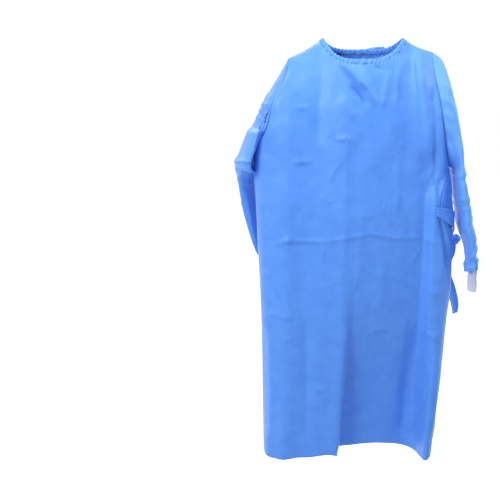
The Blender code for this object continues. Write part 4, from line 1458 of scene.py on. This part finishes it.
@dataclass
class BackPanel(Panel):
    """One of the two back panels. The right one laps over the left one."""

    side: Side = Side.RIGHT
    columns: int = 96
    neck_columns: int = 60
    opening_trim: float = -1.5

    def make(self) -> bpy.types.Object:
        """Build a back panel."""
        side, meet = self.side, FORM.meet
        rows = [spaced(FORM.back_line(z, side), self.columns, 0.0, meet) for z in self.levels()]
        first = FORM.opening_turn() - side.value * self.opening_trim
        last = 180.0 - 90.0 * side.value
        turns = np.linspace(first, last, self.neck_columns + 1)
        neck = np.array([FORM.neck_point(turn, FORM.casing) for turn in turns])
        shoulder = FORM.shoulder_line(side, FORM.casing, self.columns - self.neck_columns + 1)
        top = np.concatenate([neck, shoulder[1:]])
        top[:, 1] += meet
        if side is Side.LEFT:
            top[:, 1] -= FORM.lap_at_neck * np.linspace(1.0, 0.0, len(top)) ** 3
        rows += self.upper(rows[-1], top, ((side, -1),), Face.BACK)
        return self.sew(rows, -side.value, (Edge.FREE, Edge.SEWN))


@dataclass
class Sleeve:
    """A sleeve, from its armhole to its gathered end."""

    name: str
    node: str
    side: Side
    table: Sequence[SleeveRow]
    finish: bpy.types.Material
    hand: HandOfCloth
    cut: tuple
    cut_area: float
    columns: int = 112
    rows: int = 150
    blend: float = 3.0
    seam: float = 0.0004
    waves: int = 8
    gather: float = 0.0032
    fine_waves: int = 19
    fine_gather: float = 0.0024
    tuck: float = 0.0040
    # Share of painted light on the sleeve: a lighter colour painted over it, for light glowing through the thin cloth.
    sheer: float = 0.0

    def ring_points(self, at: float, turns: Array) -> Array:
        """Points of the plain ring at a place between the table's rows.

        Args:
            at: The place, as a row number.
            turns: Radians round from the outer point.

        Returns:
            The points.
        """
        keys = np.arange(len(self.table), dtype=float)
        row = SleeveRow(*hermite(keys, np.array(self.table, float), at))
        across_x = (row.over_x - row.under_x) / 2 * np.cos(turns)
        across_y = -row.half * np.sin(turns)
        twist = math.radians(row.turn)
        x = (row.over_x + row.under_x) / 2 + across_x * math.cos(twist) - across_y * math.sin(twist)
        y = row.y + across_x * math.sin(twist) + across_y * math.cos(twist)
        z = (row.over_z + row.under_z) / 2 + (row.over_z - row.under_z) / 2 * np.cos(turns)
        return np.stack([x, y, z - row.tilt * np.sin(turns)], axis=1)

    def surface(self) -> Array:
        """The plain sleeve's rings, armhole first."""
        turns = np.linspace(0.0, 2 * math.pi, self.columns + 1)[:-1]
        first = self.ring_points(0.0, turns)
        holes = []
        for turn in turns:
            face = Face.FRONT if turn <= math.pi else Face.BACK
            hole = FORM.armhole_point(self.side, (1 - math.cos(turn)) / 2, face)
            hole[0] += self.side.value * self.seam
            holes.append(hole)
        last = len(self.table) - 1
        rings = []
        for at in np.linspace(0.0, 1.0, self.rows + 1) * last:
            ring = self.ring_points(at, turns)
            fade = max(0.0, 1.0 - at / self.blend) ** 2
            ring = ring + (np.array(holes) - first) * fade
            from_end = last - at
            gather = self.gather * float(np.interp(from_end, [0.0, 1.0, 2.0, 3.0], [0.6, 1.0, 0.6, 0.0]))
            finer = self.fine_gather * float(np.interp(from_end, [0.0, 0.5, 1.6], [1.0, 1.0, 0.0]))
            middle = ring.mean(axis=0)
            outwards = ring - middle
            outwards /= np.maximum(np.linalg.norm(outwards, axis=1, keepdims=True), 1e-9)
            wave = gather * np.cos(self.waves * turns) + finer * np.cos(self.fine_waves * turns + 0.7)
            rings.append(ring + outwards * wave[:, None])
        return np.array(rings)

    def make(self) -> bpy.types.Object:
        """Build the sleeve."""
        grid = ClothGrid(self.surface(), True, self.side.value)
        _, along = grid.flat()
        run = np.minimum(along, along[-1:] - along)
        grid.push(self.hand.relief(grid, smooth(run / 0.016)))
        grid.push(-0.0007 * (1.0 - smooth(run / 0.0035)))
        normals = grid.normals()
        first = grid.points[:1] - normals[:1] * self.tuck
        last = grid.points[-1:] - normals[-1:] * self.tuck
        grid.points = np.concatenate([first, grid.points, last], axis=0)
        run = np.concatenate([run[:1], run, run[-1:]], axis=0)
        far = np.full_like(run, 1.0)
        grid.runs = {"hem_run": far, "sewn_run": run, "neck_run": far, "neck_round": far,
                     "sheer": far * self.sheer}
        piece = dress(grid.build(self.name, self.finish), "nonwoven_blue", self.node)
        return piece


@dataclass
class Cuff:
    """A ribbed knitted cuff below a sleeve's gathered end."""

    name: str
    node: str
    side: Side
    sleeve_end: SleeveRow
    finish: bpy.types.Material
    cut: tuple
    ribs: int = 44
    rib_columns: int = 6
    rows: int = 44
    rib: float = 0.00055
    seam: float = 0.0002
    thickness: float = 0.0009
    roll: float = 0.0012

    def make(self) -> bpy.types.Object:
        """Build the cuff."""
        end = self.sleeve_end
        middle_x = (end.over_x + end.under_x) / 2
        twist = math.radians(end.turn)
        count = self.ribs * self.rib_columns
        turns = np.arange(count) * (2 * math.pi / count)
        rough = Unevenness(61 if self.side is Side.LEFT else 67)
        rings = []
        drops = np.linspace(0.0, CUFF[-1].drop, self.rows + 1)
        for drop in drops:
            thin = column(CUFF, "drop", "thin", drop)
            half = column(CUFF, "drop", "half", drop)
            shift = column(CUFF, "drop", "x", drop)
            lip = smooth((drop - CUFF[-1].drop + 0.004) / 0.004)
            swell = self.rib * (np.cos(self.ribs * turns) * (1.0 - 0.6 * lip)) + self.roll * lip * 0.4
            slack = 0.0009 * rough.at(turns * 1.6, np.full(count, drop / 0.016)) * smooth(drop / 0.01)
            grow = swell + slack
            across_x = self.side.value * (thin + grow) * np.cos(turns)
            across_y = -(half + grow) * np.sin(turns)
            x = middle_x + self.side.value * shift + across_x * math.cos(twist) - across_y * math.sin(twist)
            y = end.y + across_x * math.sin(twist) + across_y * math.cos(twist)
            z = np.full(count, end.over_z - self.seam - drop)
            z = z + 0.0008 * lip * rough.at(turns * 2.1, np.full(count, 3.3))
            rings.append(np.stack([x, y, z], axis=1))
        grid = ClothGrid(np.array(rings), True, self.side.value, {}, self.thickness)
        tucked = grid.points[:1] - grid.normals()[:1] * 0.003 + np.array([0.0, 0.0, 0.0015])
        grid.points = np.concatenate([tucked, grid.points], axis=0)
        piece = dress(grid.build(self.name, self.finish), "knit_white", self.node)
        return piece


@dataclass
class NeckCasing:
    """The gathered casing round the neck, open at the back."""

    finish: bpy.types.Material
    cut: tuple
    cut_area: float
    waves: int = 54
    wave_columns: int = 10
    wave: float = 0.00120
    wave_low: float = 0.00240
    half: float = 0.00125
    gap: float = 0.3
    profile: int = 9
    ruffle: float = 0.0007
    thickness: float = 0.0005

    def section(self, share: float) -> float:
        """Half the casing's thickness at a share of its way down: rounded above, pinched below."""
        belly = math.sin(math.pi * min(1.0, share * 1.12 + 0.02)) ** 0.6 if share < 0.875 else 0.12
        return self.half * (0.22 + 0.78 * max(belly, 0.0))

    def make(self) -> bpy.types.Object:
        """Build the casing as a folded strip whose two faces ruffle together."""
        start = FORM.opening_turn() - 360.0 + self.gap / 2
        end = FORM.opening_turn() - self.gap / 2
        count = self.waves * self.wave_columns + 1
        rough = Unevenness(23)
        shares = np.concatenate([np.linspace(1.0, 0.0, self.profile), np.linspace(0.0, 1.0, self.profile)])
        signs = np.concatenate([np.ones(self.profile), -np.ones(self.profile)])
        rows = np.zeros((len(shares), count, 3))
        for index in range(count):
            place = index / (count - 1)
            turn = start + (end - start) * place
            angle = math.radians(turn)
            normal = np.array([math.sin(angle) * 0.6, -math.cos(angle), 0.45])
            normal /= np.linalg.norm(normal)
            around = place * self.waves
            phase = 2 * math.pi * (around + 0.22 * float(rough.at(np.array(around * 0.37), np.array(0.5))))
            size = 0.75 + 0.45 * float(rough.at(np.array(around * 0.61), np.array(9.5)))
            for row, (share, sign) in enumerate(zip(shares, signs)):
                lowered = FORM.casing * (share * 1.04 - 0.02)
                amount = self.wave + (self.wave_low - self.wave) * share
                ripple = amount * size * math.sin(phase + 0.5 * share)
                point = FORM.neck_point(turn, lowered)
                lift = self.ruffle * (1.0 - share) * size * math.sin(phase + 1.1)
                rows[row, index] = point + normal * (ripple + sign * self.section(share))
                rows[row, index, 2] += lift
        grid = ClothGrid(rows, False, 1, {}, self.thickness)
        run = np.array([abs(share - 0.86) * FORM.casing + 0.0042 for share in shares])
        far = np.ones(rows.shape[:2])
        grid.runs = {"hem_run": far, "sewn_run": run[:, None] * far, "neck_run": far, "neck_round": far}
        piece = dress(grid.build("casing_cloth", self.finish), "nonwoven_blue", "neck_casing")
        return piece


def close_tube(piece: bpy.types.Object) -> None:
    """Merge a tube's doubled seam, close its two ends and turn its faces outwards.

    Args:
        piece: The tube.
    """
    for other in list(bpy.context.selected_objects):
        other.select_set(False)
    bpy.context.view_layer.objects.active = piece
    piece.select_set(True)
    bpy.ops.object.mode_set(mode="EDIT")
    bpy.ops.mesh.select_all(action="SELECT")
    bpy.ops.mesh.remove_doubles(threshold=0.000002)
    bpy.ops.mesh.select_all(action="DESELECT")
    bpy.ops.mesh.select_non_manifold(extend=False, use_wire=False, use_multi_face=False, use_verts=False)
    bpy.ops.mesh.edge_face_add()
    bpy.ops.mesh.select_all(action="SELECT")
    bpy.ops.mesh.normals_make_consistent(inside=False)
    bpy.ops.object.mode_set(mode="OBJECT")
    piece.select_set(False)


@dataclass
class Route:
    """A smooth line through given points."""

    points: Sequence[Sequence[float]]

    def stations(self, step: float) -> Array:
        """Points along the line at even steps.

        Args:
            step: Their distance.

        Returns:
            The points.
        """
        route = np.array(self.points, float)
        knots = np.concatenate([[0.0], np.cumsum(np.linalg.norm(np.diff(route, axis=0), axis=1))])
        dense = hermite(knots, route, np.linspace(0.0, knots[-1], 600))
        length = float(np.linalg.norm(np.diff(dense, axis=0), axis=1).sum())
        return spaced(dense, max(8, int(length / step)))


def length_of(points: Array) -> float:
    """Length of a line of points."""
    return float(np.linalg.norm(np.diff(points, axis=0), axis=1).sum())


def frames_along(points: Array) -> tuple[Array, Array]:
    """Two directions across a line at every point, carried along without twisting.

    Args:
        points: The line.

    Returns:
        The two directions.
    """
    tangents = np.gradient(points, axis=0)
    tangents /= np.linalg.norm(tangents, axis=1, keepdims=True)
    side = np.cross(tangents[0], (0.0, 0.0, 1.0))
    if np.linalg.norm(side) < 1e-3:
        side = np.cross(tangents[0], (0.0, 1.0, 0.0))
    sides = []
    for tangent in tangents:
        side = side - tangent * np.dot(side, tangent)
        side = side / np.linalg.norm(side)
        sides.append(side)
    sides_found = np.array(sides)
    return sides_found, np.cross(tangents, sides_found)


@dataclass
class RolledTape:
    """A drawstring: a narrow strip of the same cloth rolled on itself, with soft grooves."""

    name: str
    node: str
    route: Sequence[Sequence[float]]
    finish: bpy.types.Material
    far_end: str
    radius: float = 0.0032
    sides: int = 18
    step: float = 0.0028
    groove: float = 0.10
    twist: float = 55.0
    end_flat: float = 0.45
    seed: int = 5

    def make(self, knot: bpy.types.Object) -> bpy.types.Object:
        """Build the string.

        Args:
            knot: The knot that it leaves.

        Returns:
            The string.
        """
        line = Route(self.route).stations(self.step)
        one, two = frames_along(line)
        count = len(line)
        runs = np.concatenate([[0.0], np.cumsum(np.linalg.norm(np.diff(line, axis=0), axis=1))])
        turns = np.linspace(0.0, 2 * math.pi, self.sides + 1)[:-1]
        rough = Unevenness(self.seed)
        rings = []
        for index in range(count):
            run = runs[index]
            lean = self.twist * run + 1.5 * float(rough.at(np.array(run / 0.03), np.array(2.5)))
            lobes = np.cos(2 * (turns - lean)) * 0.14 + np.cos(5 * (turns - lean * 0.6)) * self.groove
            crumple = 0.08 * rough.at(turns * 1.3 + 11.0, np.full(self.sides, run / 0.006))
            size = self.radius * (0.94 + lobes + crumple)
            fray = smooth((runs[-1] - run) / 0.006) if self.far_end == "bare" else 1.0
            flat = 1.0 - (1.0 - self.end_flat) * (1.0 - fray)
            ring = one[index] * (np.cos(turns) * size)[:, None] + two[index] * (np.sin(turns) * size * flat)[:, None]
            rings.append(line[index] + ring)
        closing = [line[0] + (rings[0] - line[0]) * 0.05]
        ending = [line[-1] + (rings[-1] - line[-1]) * 0.05]
        grid = ClothGrid(np.array(closing + rings + ending), True, 1, {}, 0.0)
        far = np.ones(grid.points.shape[:2])
        grid.runs = {"hem_run": far, "sewn_run": far, "neck_run": far, "neck_round": far}
        piece = grid.build(self.name, self.finish)
        close_tube(piece)
        dress(piece, "strap_blue", self.node)
        self.radius * 2
        [knot] if self.far_end == "object" else []
        LOG.info("%s: %.3f m long", self.name, length_of(line))
        return piece


@dataclass
class ClothKnot:
    """A knot: a flat band wound over and under itself, crumpled where it is pulled tight."""

    name: str
    node: str
    centre: tuple
    size: tuple
    finish: bpy.types.Material
    seed: int
    stations: int = 190
    sides: int = 16
    strand: float = 0.40

    def make(self) -> bpy.types.Object:
        """Build the knot."""
        t = np.linspace(0.0, 2 * math.pi, self.stations + 1)[:-1]
        reach = 1.0 - self.strand
        path = np.stack([
            (np.sin(t) + 2 * np.sin(2 * t)) / 3 * reach * 1.10,
            -np.sin(3 * t) * reach * 0.80,
            (np.cos(t) - 2 * np.cos(2 * t)) / 3 * reach * 1.10,
        ], axis=1)
        tangents = np.roll(path, -1, axis=0) - np.roll(path, 1, axis=0)
        tangents /= np.linalg.norm(tangents, axis=1, keepdims=True)
        outwards = path / np.maximum(np.linalg.norm(path, axis=1, keepdims=True), 1e-6)
        wide = np.cross(tangents, outwards)
        wide /= np.linalg.norm(wide, axis=1, keepdims=True)
        high = np.cross(wide, tangents)
        turns = np.linspace(0.0, 2 * math.pi, self.sides + 1)[:-1]
        rough = Unevenness(self.seed)
        rings = []
        for index in range(self.stations):
            crumple = 0.10 * rough.at(turns * 2.0 + 3.0, np.full(self.sides, index / 6.0))
            groove = 0.09 * np.cos(4 * turns + 0.6) + 0.05 * np.cos(9 * turns)
            size = self.strand * (1.0 + crumple + groove)
            ring = wide[index] * (np.cos(turns) * size * 1.15)[:, None]
            ring = ring + high[index] * (np.sin(turns) * size * 0.80)[:, None]
            rings.append(path[index] + ring)
        rings.append(rings[0])
        points = np.array(rings) * np.array(self.size) + np.array(self.centre)
        grid = ClothGrid(points, True, 1, {}, 0.0)
        far = np.ones(points.shape[:2])
        grid.runs = {"hem_run": far, "sewn_run": far, "neck_run": far, "neck_round": far}
        piece = grid.build(self.name, self.finish)
        close_tube(piece)
        return dress(piece, "strap_blue", self.node)


@dataclass
class Strap:
    """A flat strap of folded cloth: doubled, turned in at its long edges and creased."""

    name: str
    node: str
    finish: bpy.types.Material
    cut: tuple
    cut_area: float
    rests_on: Sequence[str]
    seed: int
    across: int = 18
    step: float = 0.0035
    thickness: float = 0.0011
    crease: float = 0.0010
    cup: float = 0.12

    def laid(self, route: Sequence[RouteRow]) -> Array:
        """Rows of a strap that lies round the body.

        Args:
            route: Its stations.

        Returns:
            The rows.
        """
        keys = np.arange(len(route), dtype=float)
        table = np.array(route, float)
        lift = 0.0029
        rows = []
        for at in np.linspace(0.0, len(route) - 1.0, 90):
            degrees, z, width, off = hermite(keys, table, at)
            row = []
            for share in np.linspace(-0.5, 0.5, self.across + 1):
                here = FORM.section(float(z + share * width), np.array([degrees - 1.0, degrees + 1.0]))
                step = here[1] - here[0]
                outwards = np.array([step[1], -step[0], 0.0]) / np.linalg.norm(step)
                row.append((here[0] + here[1]) / 2 + outwards * (lift + off))
            rows.append(row)
        return np.array(rows)

    def free(self, table: Sequence[StrapRow]) -> Array:
        """Rows of a strap that hangs free.

        Args:
            table: Its stations.

        Returns:
            The rows.
        """
        keys = np.arange(len(table), dtype=float)
        values = np.array(table, float)
        rows = []
        for at in np.linspace(0.0, len(table) - 1.0, 110):
            x, y, z, width, across_x, across_y = hermite(keys, values, at)
            across = np.array([across_x, across_y, 0.0])
            across /= np.linalg.norm(across)
            cup = np.cross((0.0, 0.0, 1.0), across) * width * self.cup
            shares = np.linspace(-0.5, 0.5, self.across + 1)[:, None]
            rows.append(np.array([x, y, z]) + across * width * shares + cup * (1 - 4 * shares ** 2))
        return np.array(rows)

    def make(self, rows: Array, outwards: int, held: str) -> bpy.types.Object:
        """Build the strap.

        Args:
            rows: Its plain rows.
            outwards: 1 where they turn outwards, else -1.
            held: How it is held. It is not used.

        Returns:
            The strap.
        """
        grid = ClothGrid(rows, False, outwards, {}, self.thickness)
        across, along = grid.flat()
        rough = Unevenness(self.seed)
        share = across / np.maximum(across[:, -1:], 1e-6)
        pulled = 1.0 - smooth((across[:, -1:] - 0.012) / 0.024)
        lines = np.cos(share * math.pi * 6 + 1.2 * rough.at(share * 2, along / 0.05)) * (0.25 + 0.75 * pulled)
        soft = rough.at(share * 2.2 + 5.0, along / 0.030) + 0.5 * rough.at(share * 4 + 1.0, along / 0.014)
        grid.push(self.crease * (0.9 * lines + 0.7 * soft))
        edge = np.minimum(across, across[:, -1:] - across)
        end = np.minimum(along, along[-1:] - along)
        far = np.ones(across.shape)
        grid.runs = {"hem_run": far, "sewn_run": np.minimum(edge, end) + 0.0022,
                     "neck_run": far, "neck_round": far}
        piece = dress(grid.build(self.name, self.finish), "strap_blue", self.node)
        return piece


@dataclass
class Studio:
    """A pale floor, soft light and the camera."""

    camera_at: tuple = (-0.3073, -2.6, -0.02275)
    pitch: float = 12.0
    lens: float = 67.06
    floor_z: float = -1.60
    floor_half: float = 9.0
    room_turn: tuple = (-0.60, 0.55)
    room_front: tuple = (0.24, 0.32, 0.52, 1.0)
    room_behind: tuple = (1.02, 1.02, 1.03, 1.0)
    backdrop: bpy.types.Material | None = None

    def light(self, name: str, place: tuple, size: float, power: float, colour: tuple,
              target: tuple = (0.0, 0.0, -0.55)) -> None:
        """Add a soft light.

        Args:
            name: Its name.
            place: Where it stands.
            size: Its side.
            power: Its strength in watts.
            colour: Its colour.
            target: What it looks at.
        """
        data = bpy.data.lights.new(name, "AREA")
        data.shape = "SQUARE"
        data.size = size
        data.energy = power
        data.color = colour
        lamp = bpy.data.objects.new(name, data)
        lamp.location = place
        lamp.visible_camera = False
        aim = Vector(target) - Vector(place)
        lamp.rotation_euler = aim.to_track_quat("-Z", "Y").to_euler()
        bpy.context.scene.collection.objects.link(lamp)

    def room(self) -> None:
        """Make the soft light all round: white behind the gown, dimmer and bluer in front of it."""
        board = NodeBoard(bpy.data.worlds.new("studio"))
        bpy.context.scene.world = board.owner
        spot = board.add("ShaderNodeTexCoord", {}, {}, "Generated")
        behind = board.add("ShaderNodeSeparateXYZ", {}, {0: spot}, 1).step(*self.room_turn)
        colour = board.mix(behind, self.room_front, self.room_behind)
        board.feed(board.tree.nodes["Background"].inputs["Color"], colour)

    def make(self) -> None:
        """Build the studio."""
        half = self.floor_half
        mesh = bpy.data.meshes.new("floor")
        corners = [(-half, -half, self.floor_z), (half, -half, self.floor_z),
                   (half, half, self.floor_z), (-half, half, self.floor_z)]
        mesh.from_pydata(corners, [], [(0, 1, 2, 3)])
        mesh.materials.append(self.backdrop)
        floor = bpy.data.objects.new("floor", mesh)
        bpy.context.scene.collection.objects.link(floor)
        self.room()
        self.light("key", (-1.42, -1.68, 0.55), 0.8, 31.5, (1.0, 0.99, 0.96))
        self.light("top", (0.06, -0.62, 0.80), 0.4, 5.4, (1.0, 0.99, 0.98))
        self.light("neck", (0.02, -0.17, 0.17), 0.12, 0.24, (1.0, 0.99, 0.98), (0.0, 0.05, -0.07))
        self.light("side", (1.10, -0.20, 0.20), 0.4, 3.6, (1.0, 0.99, 0.97))
        self.light("rear", (-1.2, 2.2, 1.6), 1.6, 24.0, (1.0, 0.99, 0.97))
        camera_data = bpy.data.cameras.new("camera")
        camera_data.sensor_width = 36.0
        camera_data.lens = self.lens
        camera = bpy.data.objects.new("camera", camera_data)
        camera.location = self.camera_at
        camera.rotation_euler = (math.radians(90.0 - self.pitch), 0.0, 0.0)
        bpy.context.scene.collection.objects.link(camera)
        bpy.context.scene.camera = camera
        bpy.context.scene.view_settings.view_transform = "Standard"


@dataclass
class Gown:
    """The whole gown, piece by piece."""

    knot: tuple = (0.296, 0.092, -0.578)
    knot_size: tuple = (0.019, 0.012, 0.018)
    neck_knot: tuple = (0.0620, 0.0513, -0.0275)
    neck_knot_size: tuple = (0.0078, 0.0060, 0.0068)

    def panels(self, cloth: bpy.types.Material) -> None:
        """Build the neck casing and the three body panels."""
        NeckCasing(cloth, (0.92, 0.027), 0.0245).make()
        hand = HandOfCloth(FRONT_CREASES, FRONT_DENTS, 11, scatter=34)
        FrontPanel("front_cloth", "front_panel", cloth, hand, (0.640, 1.200), 0.690).make()
        hand = HandOfCloth(BACK_CREASES, BACK_DENTS, 12, scatter=26)
        BackPanel("back_cloth_right", "back_panel_right", cloth, hand, (0.420, 1.200), 0.42,
                  side=Side.RIGHT, neck_columns=60).make()
        hand = HandOfCloth(BACK_CREASES, BACK_DENTS, 13, scatter=26)
        BackPanel("back_cloth_left", "back_panel_left", cloth, hand, (0.400, 1.200), 0.37,
                  side=Side.LEFT, neck_columns=30).make()

    def sleeves(self, cloth: bpy.types.Material, knit: bpy.types.Material) -> None:
        """Build both sleeves and their cuffs."""
        # The last number is each sleeve's share of painted light, a lighter colour painted over it for light glowing
        # through it.
        kinds = (
            (Side.LEFT, SLEEVE_LEFT, SLEEVE_LEFT_CREASES, SLEEVE_LEFT_DENTS, 14, 0.42),
            (Side.RIGHT, SLEEVE_RIGHT, SLEEVE_RIGHT_CREASES, SLEEVE_RIGHT_DENTS, 15, 0.00),
        )
        for side, table, creases, dents, seed, sheer in kinds:
            word = side.name.lower()
            hand = HandOfCloth(creases, dents, seed, wave=0.0011, wave_across=0.040, wave_along=0.110,
                               scatter=26, scatter_height=0.0019)
            Sleeve("sleeve_cloth_" + word, "sleeve_" + word, side, table, cloth, hand,
                   (0.40, 0.60), 0.14, sheer=sheer).make()
            Cuff("cuff_knit_" + word, "cuff_" + word, side, table[-1], knit, (0.13, 0.072)).make()

    def ties(self, strap: bpy.types.Material) -> None:
        """Build the drawstring and the waist straps with their knots."""
        knot = ClothKnot("neck_knot_cloth", "neck_knot", self.neck_knot, self.neck_knot_size, strap, 31).make()
        RolledTape("neck_string_long_cloth", "neck_string_long", STRING_LONG, strap, "bare", seed=41).make(knot)
        RolledTape("neck_string_short_cloth", "neck_string_short", STRING_SHORT, strap, "bare", seed=42).make(knot)
        RolledTape("neck_string_bow_cloth", "neck_string_bow", STRING_BOW, strap, "object", seed=43).make(knot)
        ClothKnot("waist_knot", "belt_knot", self.knot, self.knot_size, strap, 32).make()
        left = Strap("waist_strap_left", "belt_strap_left", strap, (0.050, 0.230), 0.0078, ["front_cloth"], 51)
        left.make(left.laid(STRAP_FRONT), 1, "draped")
        right = Strap("waist_strap_right", "belt_strap_right", strap, (0.036, 0.255), 0.0076, ["back_cloth_right"], 52)
        right.make(right.laid(STRAP_BACK), -1, "draped")
        short = Strap("waist_tail_short", "belt_tail_short", strap, (0.036, 0.220), 0.0076, ["waist_knot"], 53)
        short.make(short.free(TAIL_SHORT), 1, "hung")
        long = Strap("waist_tail_long", "belt_tail_long", strap, (0.036, 0.525), 0.0186, ["waist_knot"], 54)
        long.make(long.free(TAIL_LONG), 1, "hung")

    def make(self) -> None:
        """Build every piece of the gown."""
        cloth = Nonwoven("nonwoven_blue").make()
        strap = Nonwoven("strap_blue", colour=(0.100, 0.310, 0.860, 1.0), thin=(0.150, 0.380, 0.930, 1.0)).make()
        self.panels(cloth)
        self.sleeves(cloth, Knit().make())
        self.ties(strap)


def main() -> None:
    """Load the solids, build the studio and every piece."""
    logging.basicConfig(level=logging.INFO, format="%(message)s")
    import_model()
    Studio(backdrop=Backdrop().make()).make()
    Gown().make()


if __name__ == "__main__":
    main()
